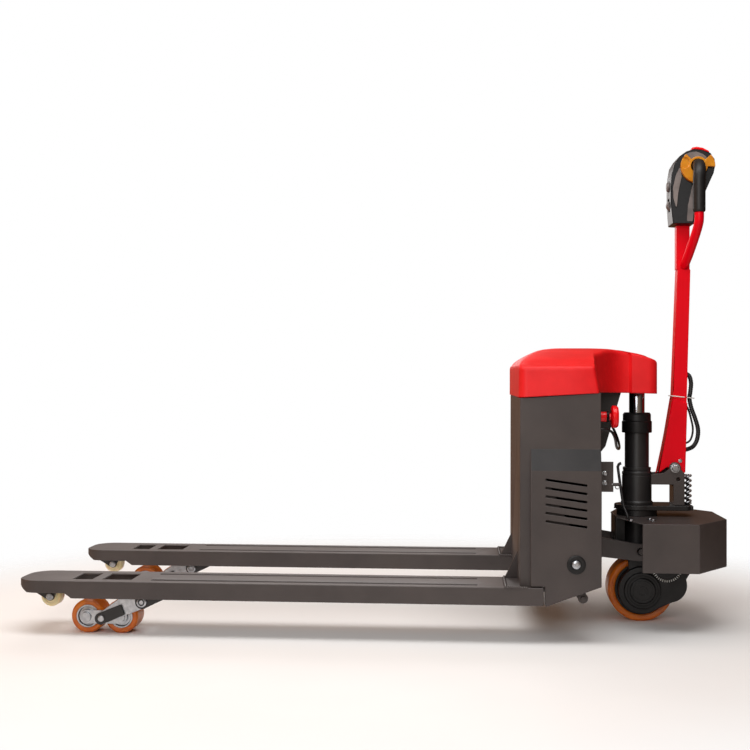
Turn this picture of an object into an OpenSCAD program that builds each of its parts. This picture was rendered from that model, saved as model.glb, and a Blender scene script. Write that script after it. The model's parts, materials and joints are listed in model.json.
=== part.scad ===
// Powered pallet truck with partly raised forks.
// Origin: centre of the footprint, on the floor. +X points to the tiller, -X to the fork tips, +Z up.
// Left is the side at -Y, as the operator sees it when facing the forks.

/* [Forks] */
// Length of a fork from its tip to the chassis front
fork_len = 1220; // [900:10:1500]
// Width of one fork
fork_w = 160; // [150:1:200]
// Width over both forks
overall_w = 685; // [640:5:830]
// Height of the fork tops above the floor
fork_top_z = 134; // [126:1:150]
// Height of a fork's side wall
fork_side_h = 42; // [38:1:50]
// Plate thickness of a fork
fork_t = 4; // [3:0.5:6]
// How far a fork reaches behind the chassis front
fork_back = 55; // [40:1:65]
// Corner radius of the fork nose, seen from above
nose_r = 55; // [30:1:70]
// Height of the side wall left above the nose rollers
nose_side_h = 30; // [24:1:34]
// Half width of the roller windows
window_half_w = 46; // [36:1:50]
// Depth of the pressed grooves in the fork tops
groove_depth = 1.5; // [0.5:0.5:2]

/* [Entry rollers] */
// Distance of the entry roller from the fork tip
entry_from_tip = 69; // [60:1:80]
// Radius of an entry roller
entry_r = 26; // [20:1:28]
// Width of an entry roller
entry_w = 30; // [20:1:40]
// Depth of the entry roller axle below the fork top
entry_drop = 48; // [44:1:54]
// Radius of the entry roller axle
entry_axle_r = 6; // [4:0.5:7]

/* [Load rollers] */
// Radius of a load roller
load_r = 41; // [37:0.5:44]
// Width of a load roller
load_w = 66; // [56:1:70]
// Radius of a load roller's hub
load_hub_r = 28; // [22:1:32]
// Distance between the two load roller axles of a bogie
load_gap = 84; // [83:0.5:92]
// Radius of the load roller axles
load_axle_r = 8; // [6:0.5:10]
// Distance of the link pivot from the fork tip
link_from_tip = 311; // [290:1:340]
// Depth of the link pivot below the fork top
link_drop = 51; // [48:1:54]
// Length of a link arm from its pivot to the bogie pin
link_len = 110; // [100:1:120]
// Height of the push rod lug above the link pivot
lug_h = 37; // [32:0.5:38]
// Radius of the link and bogie pins
link_pin_r = 9; // [7:0.5:10]

/* [Chassis] */
// Length of the chassis
chassis_len = 190; // [170:1:230]
// Step from the outer fork side to the chassis side
side_step = 24.5; // [15:0.5:30]
// Height of the chassis top at the front
chassis_top_z = 579; // [540:1:640]
// Rise of the chassis top towards the rear
top_rise = 13; // [0:1:20]
// Plate thickness of the chassis
panel_t = 5; // [3:0.5:8]
// Height of the lowest edge of the chassis
chassis_low_z = 90; // [80:1:100]
// Height of the chassis bottom at its rear edge
rear_low_z = 137; // [120:1:150]
// Floor height of the battery bay
bay_z = 338; // [334:1:360]
// Thickness of a side pod
pod_depth = 18; // [12:1:22]
// Number of louvre slots in a pod
slot_count = 6; // [3:1:8]
// Spacing of the louvre slots
slot_pitch = 19.5; // [14:0.5:22]
// Distance of the rocker pivot from the chassis front
rocker_x = 131; // [120:1:140]
// Height of the rocker pivot
rocker_z = 189; // [180:1:200]
// Radius of the rocker pivot pins
rocker_pin_r = 11; // [8:0.5:13]

/* [Hood] */
// Overall height of the hood's dome above the chassis top
hood_h = 126; // [110:1:150]
// Radius of the domed top
dome_r = 1100; // [800:10:2000]
// Wall of the hood
hood_t = 4; // [3:0.5:6]
// Half width of the hood's rear nose
hood_nose_w = 100; // [80:1:120]
// Overhang of the hood over the chassis sides
hood_lip = 4; // [2:0.5:8]

/* [Drive] */
// Distance from the chassis rear to the steering axis
axis_gap = 127; // [120:1:150]
// Radius of the drive wheel
wheel_r = 84; // [80:0.5:86]
// Width of the drive wheel
wheel_w = 70; // [60:1:74]
// Distance of the wheel centre behind the steering axis
wheel_trail = 6; // [0:1:10]
// Thickness of the drive wheel's tyre
tyre_t = 18; // [12:1:24]
// Radius of the steering post
post_r = 34; // [30:0.5:36]
// Height of the drive cover's lower edge
cover_low_z = 152; // [148:1:160]
// Height of the drive cover's top
cover_top_z = 272; // [265:1:280]
// Half width of the drive cover
cover_half_w = 215; // [200:1:225]
// Reach of the drive cover behind the steering axis
cover_reach = 212; // [200:1:230]
// Sheet thickness of the drive cover
cover_t = 3; // [2:0.5:4]

/* [Lift] */
// Radius of the cylinder's lower body
body_r = 38; // [36:0.5:40]
// Radius of the cylinder tube
tube_r = 31; // [29:0.5:33]
// Radius of the piston rod
rod_r = 20; // [16:0.5:22]
// Height of the base plate's underside
base_z = 288; // [284:1:292]
// Thickness of the base plate
base_t = 12; // [8:1:16]
// Height of the cylinder above the base plate
cylinder_h = 186; // [180:1:190]

/* [Tiller] */
// Distance of the tiller pivot behind the steering axis
tiller_x = 93; // [88:1:100]
// Height of the tiller pivot
tiller_z = 396; // [390:1:410]
// Radius of the tiller pivot bolt
tiller_pin_r = 8; // [6:0.5:10]
// Height of the tiller head's top above the pivot
tiller_h = 826; // [760:1:900]
// Half distance between the grips
grip_y = 110; // [95:1:125]
// Radius of a grip
grip_r = 15.5; // [13:0.5:17]

/* [Small parts] */
// Radius of the emergency stop's mushroom
estop_r = 27; // [20:0.5:30]
// Travel of the emergency stop
estop_travel = 4; // [2:0.5:5]
// Travel of the head buttons
button_travel = 2; // [1:0.5:3]

/* [Hidden] */
$fn = 64;

// Fits: radial clearance of a running pin, gap between parts that pass, overshoot of a cut
run_fit = 0.05;
gap = 1;
cut = 1;

// Main places along X
rear_reach = chassis_len + axis_gap + cover_reach;
heel_x = (fork_len - rear_reach) / 2;
tip_x = heel_x - fork_len;
axis_x = heel_x + chassis_len + axis_gap;
rear_x = heel_x + chassis_len;
fork_y = (overall_w - fork_w) / 2;
chassis_half_w = overall_w / 2 - side_step;
chassis_rear_z = chassis_top_z + top_rise;

// Fork and roller places
fork_under_z = fork_top_z - fork_t;
fork_low_z = fork_top_z - fork_side_h;
gusset_run = 32;
entry_x = tip_x + entry_from_tip;
entry_z = fork_top_z - entry_drop;
pivot_x = tip_x + link_from_tip;
pivot_z = fork_top_z - link_drop;
link_fall = pivot_z - load_r;
bogie_x = pivot_x - sqrt(link_len * link_len - link_fall * link_fall);
lug_x = pivot_x - 6;
lug_z = pivot_z + lug_h;
lug_pin_r = 5;

// Layers across a fork, measured from its centre line
hub_side = load_w / 2;
bogie_in = hub_side + 3;
bogie_t = 5;
axle_head = 5;
link_in = bogie_in + bogie_t + axle_head + 2;
link_t = 7;
ear_in = link_in + link_t + 3;
ear_t = 5;

// Rocker places
crank_x = heel_x + rocker_x + 12;
crank_z = rocker_z - 69;
crank_pin_r = 8;
crank_in = 12;
crank_t = 8;
stop_x = heel_x + rocker_x + 20;
stop_z = rocker_z - 87;
pivot_tube_r = 20;
arm_y = 84;
arm_t = 10;
rocker_px = heel_x + rocker_x;

// Drive unit heights, from the wheel up
wheel_x = axis_x + wheel_trail;
wheel_axle_r = 12;
yoke_z = 2 * wheel_r + 2;
yoke_t = 8;
seat_z = yoke_z + yoke_t + 0.5;
seat_h = 18;
seat_r = 60;
trunnion_r = 8;
trunnion_z = seat_z + seat_h / 2;
trunnion_play = 1.5;
slot_run = 12;
base_top_z = base_z + base_t;
gearbox_in = wheel_w / 2 + 3;
gearbox_w = 24;
lobe_x = axis_x + 75;
lobe_z = 98;
motor_x = axis_x + 137;
motor_z = 212;
motor_r = 46;

// Cylinder heights, from the base plate up
body_top_z = base_top_z + 88;
flange_top_z = body_top_z + 8;
gland_z = base_top_z + cylinder_h;
gland_top_z = gland_z + 52;
beam_z = chassis_rear_z;
beam_h = 30;
rod_low_z = base_top_z + 60;

// Tiller places
pin_x = axis_x + tiller_x;
head_x = axis_x + 136;
head_top_z = tiller_z + tiller_h;
throttle_x = axis_x + 145;
throttle_z = head_top_z - 52;
grip_x = axis_x + 139;
grip_low_z = head_top_z - 176;
spring_x = axis_x + 130;
tube_top_z = head_top_z - 312;
head_half = 51;
belly_w = 92;

// Emergency stop
estop_y = -250;
estop_z = chassis_rear_z - 58;
estop_mouth = 26;

// ---------------------------------------------------------------- helpers

// A cylinder along Y, centred on y
module bar_y(x, y, z, r, h) {
    translate([x, y, z]) rotate([90, 0, 0]) cylinder(r = r, h = h, center = true);
}

// A cylinder along X that starts at x
module bar_x(x, y, z, r, h) {
    translate([x, y, z]) rotate([0, 90, 0]) cylinder(r = r, h = h);
}

// A round rod from p to q, with round ends
module rod(p, q, r) {
    d = q - p;
    tilt = acos(d[2] / norm(d));
    turn = atan2(d[1], d[0]);
    translate(p) rotate([0, tilt, turn]) cylinder(r = r, h = norm(d), $fn = 32);
    translate(p) sphere(r = r, $fn = 32);
    translate(q) sphere(r = r, $fn = 32);
}

// A plate that stands in the XZ plane, t thick and centred on y
module plate_y(y, t) {
    translate([0, y, 0]) rotate([90, 0, 0]) linear_extrude(t, center = true) children();
}

// A flat quadrilateral that joins two circles of radii r and s
module strap(p, q, r, s) {
    d = (q - p) / norm(q - p);
    n = [-d[1], d[0]];
    polygon([p + r * n, q + s * n, q - s * n, p - r * n]);
}

// Two circles joined by a strap that is a little narrower than they are
module link2d(p, q, r, s, ease = 0.6) {
    translate(p) circle(r);
    translate(q) circle(s);
    strap(p, q, r - ease, s - ease);
}

// Sign of a side: left is at -Y
function side_sign(side) = side == "left" ? -1 : 1;

// Points on a smooth curve through a route, n steps for each stretch
function spline(p, n) = [
    for (i = [0 : len(p) - 2]) for (k = [0 : n - 1])
        let (t = k / n, a = p[max(i - 1, 0)], b = p[i], c = p[i + 1], d = p[min(i + 2, len(p) - 1)])
        0.5 * (2 * b + (c - a) * t + (2 * a - 5 * b + 4 * c - d) * t * t
            + (3 * b - a - 3 * c + d) * t * t * t),
    p[len(p) - 1]];

// A tube of radius r swept along a route; ref is a direction that the route never takes
module sweep(route, r, ref, sides = 8) {
    last = len(route) - 1;
    points = [for (i = [0 : last])
        let (d = route[min(i + 1, last)] - route[max(i - 1, 0)],
            u = cross(d, ref) / norm(cross(d, ref)), v = cross(d, u) / norm(d))
        for (k = [0 : sides - 1]) route[i] + r * (cos(360 * k / sides) * u + sin(360 * k / sides) * v)];
    walls = [for (i = [0 : last - 1]) for (k = [0 : sides - 1])
        let (m = (k + 1) % sides)
        [i * sides + k, (i + 1) * sides + k, (i + 1) * sides + m, i * sides + m]];
    start = [[for (k = [0 : sides - 1]) k]];
    end = [[for (k = [sides - 1 : -1 : 0]) last * sides + k]];
    polyhedron(points, concat(walls, start, end), convexity = 4);
}

// ---------------------------------------------------------------- forks

// Outline of a fork from above, drawn inset by d, for a fork centred on y = 0
module fork_outline(d) {
    r = nose_r - d;
    half = fork_w / 2 - d;
    translate([tip_x + nose_r, -half]) square([fork_len + fork_back - nose_r, 2 * half]);
    translate([tip_x + d, -(fork_w / 2 - nose_r)]) square([nose_r, fork_w - 2 * nose_r]);
    for (s = [-1, 1]) translate([tip_x + nose_r, s * (fork_w / 2 - nose_r)]) circle(r);
}

// The part of the nose wall that is cut away over the entry roller
module nose_cut() {
    nose_z = fork_top_z - nose_side_h;
    plate_y(0, fork_w + 2 * cut) polygon([
        [tip_x - cut, fork_low_z - cut],
        [tip_x - cut, fork_top_z - 16],
        [tip_x + 6, fork_top_z - 18],
        [tip_x + 28, nose_z],
        [tip_x + 124, nose_z],
        [tip_x + 141, fork_low_z],
        [tip_x + 141, fork_low_z - cut]]);
}

module fork(side) {
    windows = [[133, 49], [207, 72]];
    heel_groove_w = 3;
    color("dimgray") translate([0, side_sign(side) * fork_y, 0]) difference() {
        translate([0, 0, fork_low_z]) linear_extrude(fork_side_h) fork_outline(0);
        translate([0, 0, fork_low_z - cut]) linear_extrude(fork_side_h - fork_t + cut) union() {
            fork_outline(fork_t);
            translate([heel_x + fork_back - cut, fork_t - fork_w / 2])
                square([2 * cut, fork_w - 2 * fork_t]);
        }
        nose_cut();
        for (w = windows) translate([tip_x + w[0], -window_half_w, fork_under_z - cut])
            cube([w[1], 2 * window_half_w, fork_t + 2 * cut]);
        for (y = [-45, 45]) translate([tip_x + 330, y - 6, fork_top_z - groove_depth])
            cube([fork_len - 430, 12, groove_depth + cut]);
        // weld groove in front of the heel gusset, where the load face ends
        translate([heel_x - gusset_run - gap - heel_groove_w, -fork_w / 2 - cut, fork_top_z - groove_depth])
            cube([heel_groove_w, fork_w + 2 * cut, groove_depth + cut]);
    }
}

// ---------------------------------------------------------------- entry rollers

module nose_brackets() {
    color("black") for (s = [-1, 1]) for (e = [-1, 1])
        difference() {
            plate_y(s * fork_y + e * (entry_w / 2 + 4.5), 5) union() {
                translate([entry_x, entry_z]) circle(11);
                polygon([[tip_x + 24, fork_under_z], [tip_x + 100, fork_under_z],
                    [entry_x + 11, entry_z], [entry_x - 8, entry_z - 8], [tip_x + 26, entry_z + 13]]);
            }
            bar_y(entry_x, s * fork_y, entry_z, entry_axle_r, entry_w + 40);
        }
}

module entry_axles() {
    reach = entry_w + 14;
    color("silver") for (s = [-1, 1]) {
        bar_y(entry_x, s * fork_y, entry_z, entry_axle_r, reach + 8);
        for (e = [-1, 1]) bar_y(entry_x, s * fork_y + e * (reach / 2 + 2.5), entry_z, 9, 5);
    }
}

module entry_roller(side) {
    chamfer = 3;
    half = entry_w / 2;
    color("cornsilk") translate([entry_x, side_sign(side) * fork_y, entry_z]) rotate([90, 0, 0])
        rotate_extrude() polygon([
            [entry_axle_r + run_fit, -half],
            [entry_r - chamfer, -half],
            [entry_r, -half + chamfer],
            [entry_r, half - chamfer],
            [entry_r - chamfer, half],
            [entry_axle_r + run_fit, half]]);
}

// ---------------------------------------------------------------- links and bogies

module link_ears() {
    color("black") for (s = [-1, 1]) for (e = [-1, 1]) difference() {
        plate_y(s * fork_y + e * (ear_in + ear_t / 2), ear_t) union() {
            translate([pivot_x, pivot_z]) circle(17);
            polygon([[pivot_x - 17, fork_under_z], [pivot_x - 17, pivot_z], [pivot_x + 6, pivot_z - 16],
                [pivot_x + 54, fork_low_z - 2], [pivot_x + 60, fork_under_z]]);
        }
        bar_y(pivot_x, s * fork_y, pivot_z, link_pin_r, 2 * ear_in + 4 * ear_t);
    }
}

module link_pins() {
    reach = 2 * (ear_in + ear_t);
    color("silver") for (s = [-1, 1]) {
        bar_y(pivot_x, s * fork_y, pivot_z, link_pin_r, reach);
        for (e = [-1, 1]) bar_y(pivot_x, s * fork_y + e * (reach / 2 + 3), pivot_z, 12, 6);
    }
}

module link_arm(side) {
    y = side_sign(side) * fork_y;
    stub_in = bogie_in - 0.5;
    stub_out = link_in + link_t + 5;
    color("gray") {
        difference() {
            union() {
                for (e = [-1, 1]) plate_y(y + e * (link_in + link_t / 2), link_t) union() {
                    link2d([bogie_x, load_r], [pivot_x, pivot_z], 15, 17);
                    translate([lug_x, lug_z]) circle(8);
                    polygon([[bogie_x - 6, load_r + 12], [lug_x - 4, lug_z + 6], [lug_x + 7, lug_z],
                        [pivot_x + 15, pivot_z + 3], [pivot_x, pivot_z]]);
                }
                bar_y(pivot_x, y, pivot_z, 13, 2 * link_in + 0.2);
            }
            bar_y(pivot_x, y, pivot_z, link_pin_r + run_fit, 2 * (link_in + link_t) + 2 * cut);
        }
        bar_y(lug_x, y, lug_z, lug_pin_r, 2 * link_in + 0.2);
        for (e = [-1, 1]) {
            bar_y(bogie_x, y + e * (stub_in + stub_out) / 2, load_r, link_pin_r, stub_out - stub_in);
            bar_y(bogie_x, y + e * (stub_out - 2.5), load_r, 12, 5);
        }
    }
}

module bogie(side) {
    y = side_sign(side) * fork_y;
    half = load_gap / 2;
    reach = bogie_in + bogie_t;
    color("silver") {
        for (e = [-1, 1]) difference() {
            union() {
                plate_y(y + e * (bogie_in + bogie_t / 2), bogie_t)
                    link2d([bogie_x - half, load_r], [bogie_x + half, load_r], 17, 17);
                bar_y(bogie_x, y + e * (reach + axle_head / 2), load_r, 14, axle_head);
            }
            bar_y(bogie_x, y + e * reach, load_r, link_pin_r + run_fit, 40);
        }
        for (x = [-half, half]) {
            bar_y(bogie_x + x, y, load_r, load_axle_r, 2 * reach);
            for (e = [-1, 1]) bar_y(bogie_x + x, y + e * (reach + axle_head / 2), load_r, 12, axle_head);
        }
    }
}

// Place of a load roller: its side and which end of the bogie it is at
module at_load_roller(side, end) {
    x = bogie_x + (end == "front" ? -1 : 1) * load_gap / 2;
    translate([x, side_sign(side) * fork_y, load_r]) rotate([90, 0, 0]) children();
}

module load_tyre(side, end) {
    half = load_w / 2;
    bevel = 4;
    color("darkorange") at_load_roller(side, end) rotate_extrude() polygon([
        [load_hub_r, -half + 1], [load_r - bevel, -half], [load_r, -half + bevel],
        [load_r, half - bevel], [load_r - bevel, half], [load_hub_r, half - 1]]);
}

module load_hub(side, end) {
    half = load_w / 2;
    bore = load_axle_r + run_fit;
    recess = 6;
    color("silver") at_load_roller(side, end) rotate_extrude() polygon([
        [bore, -half], [bore + 8, -half], [bore + 10, -half + recess], [load_hub_r - 5, -half + recess],
        [load_hub_r - 3, -half + 1], [load_hub_r, -half + 1], [load_hub_r, half - 1],
        [load_hub_r - 3, half - 1], [load_hub_r - 5, half - recess], [bore + 10, half - recess],
        [bore + 8, half], [bore, half]]);
}

// ---------------------------------------------------------------- push rods and rocker

module push_rod(side) {
    y = side_sign(side) * fork_y;
    rod_t = 6;
    eye_w = 16;
    play = 2;
    lug_dip = 9;
    crank_lift = 7;
    color("black") difference() {
        union() {
            rod([lug_x + 20, y, lug_z - 10], [crank_x - 26, y, crank_z - 2], rod_t);
            plate_y(y, eye_w) union() {
                polygon([[lug_x - 10, lug_z - 19], [lug_x - 10, lug_z + 8], [lug_x + 26, lug_z + 4],
                    [lug_x + 26, lug_z - 19]]);
                polygon([[crank_x - 32, crank_z - 9], [crank_x - 32, crank_z + 8],
                    [crank_x - 12, crank_z + 20], [crank_x + 13, crank_z + 20], [crank_x + 13, crank_z - 13]]);
            }
        }
        plate_y(y, eye_w + 2 * cut)
            link2d([lug_x, lug_z], [lug_x, lug_z - lug_dip], lug_pin_r + play, lug_pin_r + play);
        plate_y(y, eye_w + 2 * cut)
            link2d([crank_x, crank_z], [crank_x, crank_z + crank_lift], crank_pin_r + play,
                crank_pin_r + play);
    }
}

module rocker_arm2d() {
    difference() {
        union() {
            polygon([
                [rocker_px - 10, rocker_z + 22],
                [rocker_px + 25, rocker_z + 35],
                [rocker_px + 89, rocker_z + 33],
                [axis_x - 8, trunnion_z + 20],
                [axis_x + 31, trunnion_z + 17],
                [axis_x + 31, trunnion_z - 8],
                [axis_x + 22, trunnion_z - 20],
                [axis_x - 8, trunnion_z - 24],
                [rocker_px + 89, rocker_z - 16],
                [rocker_px, rocker_z - 26]]);
            translate([rocker_px, rocker_z]) circle(34);
        }
        link2d([axis_x - 3, trunnion_z], [axis_x - 1 + slot_run, trunnion_z],
            trunnion_r + trunnion_play, trunnion_r + trunnion_play);
    }
}

module rocker_frame() {
    tube_len = 2 * (chassis_half_w - panel_t - gap);
    bore_len = 62;
    cheeks_w = 2 * (crank_in + crank_t);
    stop_w = 8;
    color("dimgray") difference() {
        union() {
            bar_y(rocker_px, 0, rocker_z, pivot_tube_r, tube_len);
            for (s = [-1, 1]) {
                plate_y(s * (arm_y + arm_t / 2), arm_t) rocker_arm2d();
                for (e = [-1, 1]) plate_y(s * fork_y + e * (crank_in + crank_t / 2), crank_t) union() {
                    link2d([rocker_px, rocker_z], [crank_x, crank_z], 32, 16);
                    link2d([crank_x, crank_z], [stop_x, stop_z], 15, 9);
                }
                bar_y(crank_x, s * fork_y, crank_z, crank_pin_r, cheeks_w + 0.2);
                // stop rollers on the cheeks' outer faces, on their bolts
                for (e = [-1, 1]) {
                    bar_y(stop_x, s * fork_y + e * (cheeks_w + stop_w) / 2, stop_z, 12, stop_w + 0.2);
                    bar_y(stop_x, s * fork_y + e * (cheeks_w / 2 + stop_w + 2), stop_z, 6, 6);
                }
            }
            // cross plate between the arms
            translate([rocker_px + 30, -arm_y - 1, rocker_z - 12]) cube([12, 2 * arm_y + 2, 30]);
        }
        for (s = [-1, 1]) bar_y(rocker_px, s * tube_len / 2, rocker_z, rocker_pin_r + run_fit, 2 * bore_len);
    }
}

module rocker_pivots() {
    inner = chassis_half_w - panel_t - 55;
    outer = chassis_half_w + pod_depth;
    color("silver") for (s = [-1, 1]) {
        bar_y(rocker_px, s * (inner + outer) / 2, rocker_z, rocker_pin_r, outer - inner);
        bar_y(rocker_px, s * (outer + 1.5), rocker_z, 22, 3);
        bar_y(rocker_px, s * (outer + 4.5), rocker_z, rocker_pin_r, 3);
    }
}

// ---------------------------------------------------------------- chassis

// Side view of the chassis and its pods, from x0 behind the front
module chassis_side2d(x0, top_front) {
    polygon([
        [heel_x + x0, fork_top_z + 2],
        [heel_x + fork_back + 3, fork_top_z + 2],
        [heel_x + fork_back + 3, chassis_low_z],
        [heel_x + fork_back + 7, chassis_low_z],
        [rear_x, rear_low_z],
        [rear_x, top_front + top_rise],
        [heel_x + x0, top_front]]);
}

module chassis_frame() {
    w = 2 * chassis_half_w;
    inner = w - 2 * panel_t;
    gusset_y = fork_y - fork_w / 2 + 8;
    color("dimgray") difference() {
        union() {
            for (s = [-1, 1]) plate_y(s * (chassis_half_w - panel_t / 2), panel_t)
                chassis_side2d(0, chassis_top_z);
            // front plate, down to the fork tops
            translate([heel_x, -chassis_half_w, fork_top_z]) cube([panel_t, w, chassis_top_z - fork_top_z]);
            // lower cross member between the forks
            translate([heel_x, -(fork_y - fork_w / 2), fork_low_z])
                cube([fork_back, 2 * fork_y - fork_w, fork_side_h + 2]);
            // floor over the forks, bay floor, bay top and rear bulkhead
            translate([heel_x, -chassis_half_w, fork_top_z]) cube([fork_back + 3, w, 3]);
            translate([heel_x, -chassis_half_w, bay_z]) cube([chassis_len, w, panel_t]);
            translate([heel_x, -chassis_half_w, chassis_top_z - 12]) cube([chassis_len, w, panel_t]);
            translate([rear_x - panel_t, -chassis_half_w, bay_z]) cube([panel_t, w, chassis_top_z - bay_z]);
            // rear edge flanges down the open bay
            for (s = [-1, 1]) translate([rear_x - panel_t, s * (chassis_half_w - 20) - 20, rear_low_z])
                cube([panel_t, 40, bay_z - rear_low_z]);
            // heel gussets on the inner edges of the forks
            for (s = [-1, 1]) plate_y(s * gusset_y, 6) polygon([
                [heel_x, fork_top_z], [heel_x - gusset_run, fork_top_z], [heel_x, fork_top_z + 66]]);
        }
        // bores of the rocker pivots
        for (s = [-1, 1]) bar_y(rocker_px, s * chassis_half_w, rocker_z, rocker_pin_r, 4 * panel_t);
    }
}

module head_beam() {
    reach = axis_x + 28 - rear_x;
    color([0.12, 0.12, 0.12]) difference() {
        union() {
            translate([heel_x + 90, -55, beam_z]) cube([rear_x + reach - heel_x - 90, 110, beam_h]);
            translate([heel_x + 90, -55, chassis_top_z - 12 + panel_t])
                cube([chassis_len - 90 - panel_t, 110, beam_z - chassis_top_z + 12 - panel_t + 0.1]);
            for (s = [-1, 1]) plate_y(s * 44, 8) polygon([
                [rear_x, beam_z + 1], [rear_x + 81, beam_z + 1], [rear_x + 41, beam_z - 140],
                [rear_x, beam_z - 192]]);
        }
        translate([axis_x, 0, beam_z - cut]) cylinder(r = 9, h = beam_h + 2 * cut);
    }
}

module side_pod(side) {
    s = side_sign(side);
    pod_top = chassis_top_z - 119;
    slope = 51;
    shell = 3;
    x0 = 25;
    slot_len = 97;
    slot_h = 5;
    slot_x = heel_x + 60;
    slot_z = pod_top - slope - 21;
    outer = chassis_half_w + pod_depth;
    tilt = 8;
    color("dimgray") difference() {
        plate_y(s * (chassis_half_w + pod_depth / 2), pod_depth) intersection() {
            chassis_side2d(x0, chassis_top_z);
            translate([heel_x, 0]) square([chassis_len, pod_top]);
        }
        // sloping top
        translate([heel_x, s * outer, pod_top - slope]) rotate([s * atan(pod_depth / slope), 0, 0])
            translate([-cut, s > 0 ? 0 : -60, 0]) cube([chassis_len + 2 * cut, 60, 120]);
        // hollow inside, open to the chassis
        translate([heel_x + x0 + shell, s * (chassis_half_w - cut / 2 + (pod_depth - shell) / 2)
            - (pod_depth - shell + cut) / 2, rear_low_z + 4])
            cube([chassis_len - x0 - 2 * shell, pod_depth - shell + cut, pod_top - slope - rear_low_z - 8]);
        for (i = [0 : slot_count - 1])
            translate([slot_x, s * outer, slot_z - i * slot_pitch]) rotate([0, tilt, 0])
                translate([0, -shell * 2, -slot_h / 2]) cube([slot_len, 4 * shell, slot_h]);
        bar_y(rocker_px, s * outer, rocker_z, rocker_pin_r, 2 * pod_depth + 10);
    }
}

// ---------------------------------------------------------------- hood

// Hood outline from above, inset by d
module hood_outline(d) {
    half = chassis_half_w + hood_lip - d;
    wide_x = chassis_len - 3 - d;
    nose_x = chassis_len + axis_gap + 40 - d;
    neck_x = nose_x - 72;
    nose = hood_nose_w - d;
    corner = 24;
    steps = 10;
    right = concat(
        [[-3 + d, half], [wide_x, half]],
        [for (i = [1 : steps]) let (a = 90 * i / steps)
            [wide_x + (neck_x - wide_x) * (1 - cos(a)), half - (half - nose) * sin(a)]],
        [for (i = [0 : 6]) let (a = 90 - 90 * i / 6)
            [nose_x - corner + corner * cos(a), nose - corner + corner * sin(a)]]);
    mirrored = [for (i = [len(right) - 1 : -1 : 0]) [right[i][0], -right[i][1]]];
    translate([heel_x, 0]) polygon(concat(right, mirrored));
}

// Space under the hood's dome, inset by d
module hood_block(d) {
    intersection() {
        translate([0, 0, chassis_top_z - 30]) linear_extrude(hood_h + 60) hood_outline(d);
        translate([heel_x + 150, 0, chassis_top_z + hood_h - dome_r]) sphere(r = dome_r - d, $fn = 480);
    }
}

module hood() {
    w = 2 * (chassis_half_w + hood_lip) + 20;
    color("red") difference() {
        hood_block(0);
        hood_block(hood_t);
        // lower edge rises with the chassis top, then falls along the nose
        plate_y(0, w) polygon([
            [heel_x - 20, chassis_top_z - 60], [heel_x - 20, chassis_top_z], [heel_x, chassis_top_z],
            [rear_x, chassis_rear_z], [rear_x + axis_gap + 60, chassis_rear_z - 4],
            [rear_x + axis_gap + 60, chassis_top_z - 60]]);
    }
}

// ---------------------------------------------------------------- inside the chassis

module battery() {
    color("steelblue") translate([heel_x + 20, -235, bay_z + panel_t]) {
        cube([140, 470, 150]);
        translate([10, 10, 150]) cube([120, 450, 22]);
    }
}

module motor_controller() {
    x = heel_x + 30;
    y = 250;
    z = bay_z + panel_t;
    color("black") {
        translate([x, y, z]) cube([120, 14, 150]);
        for (i = [0 : 6]) translate([x + 3 + i * 18, y + 13.9, z]) cube([6, 26, 150]);
    }
}

module pump_unit() {
    z = bay_z + panel_t;
    color("black") {
        translate([heel_x + 95, -275, z + 40]) cylinder(r = 30, h = 120);
        translate([heel_x + 55, -305, z]) cube([80, 60, 40.1]);
        translate([heel_x + 95, -275, z + 159.9]) cylinder(r = 22, h = 20);
    }
}

// ---------------------------------------------------------------- emergency stop and small parts

module estop_base() {
    color("darkred") difference() {
        bar_x(rear_x, estop_y, estop_z, 14.5, estop_mouth);
        bar_x(rear_x + 5, estop_y, estop_z, 8 + run_fit, estop_mouth);
    }
}

module estop_button() {
    face = estop_mouth + estop_travel + gap;
    depth = 18;
    round = 6;
    color("red") translate([rear_x + face, estop_y, estop_z]) rotate([0, 90, 0]) rotate_extrude() union() {
        polygon([[0, -18], [8, -18], [8, 0], [estop_r - 3, 0], [estop_r, 3], [estop_r, depth - round],
            [estop_r - round, depth], [0, depth]]);
        translate([estop_r - round, depth - round]) circle(r = round, $fn = 24);
    }
}

// Route of the emergency stop lead: out of the bulkhead, down behind the cylinder, and up and back in
lead_route = [[rear_x + 0.4, -215, 502], [rear_x + 18, -215, 502], [rear_x + 36, -208, 497],
    [rear_x + 46, -184, 486], [rear_x + 55, -140, 472], [rear_x + 62, -95, 459],
    [rear_x + 68, -60, 450], [rear_x + 76, -20, 444], [rear_x + 84, 20, 443],
    [rear_x + 88, 52, 450], [rear_x + 86, 76, 468], [rear_x + 76, 88, 494],
    [rear_x + 58, 94, 520], [rear_x + 34, 96, 536], [rear_x + 16, 96, 540], [rear_x + 0.2, 96, 540]];

module estop_lead() {
    color("black") sweep(spline(lead_route, 3), 3.5, [0, 0, 1]);
}

module cable_bracket() {
    y = -240;
    z = chassis_top_z - 227;
    color("dimgray") {
        difference() {
            translate([rear_x, y - 2, z]) cube([38, 4, 73]);
            for (h = [22, 45]) bar_y(rear_x + 18, y, z + h, 5.5, 20);
        }
        bar_x(rear_x + 37.9, y, z + 18, 4, 16);
        translate([rear_x + 50, y - 9, z + 16.5]) cube([3, 18, 3]);
    }
}

// ---------------------------------------------------------------- lift cylinder and steering post

module piston_rod() {
    color("silver") translate([axis_x, 0, rod_low_z]) cylinder(r = rod_r, h = beam_z - rod_low_z);
}

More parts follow.
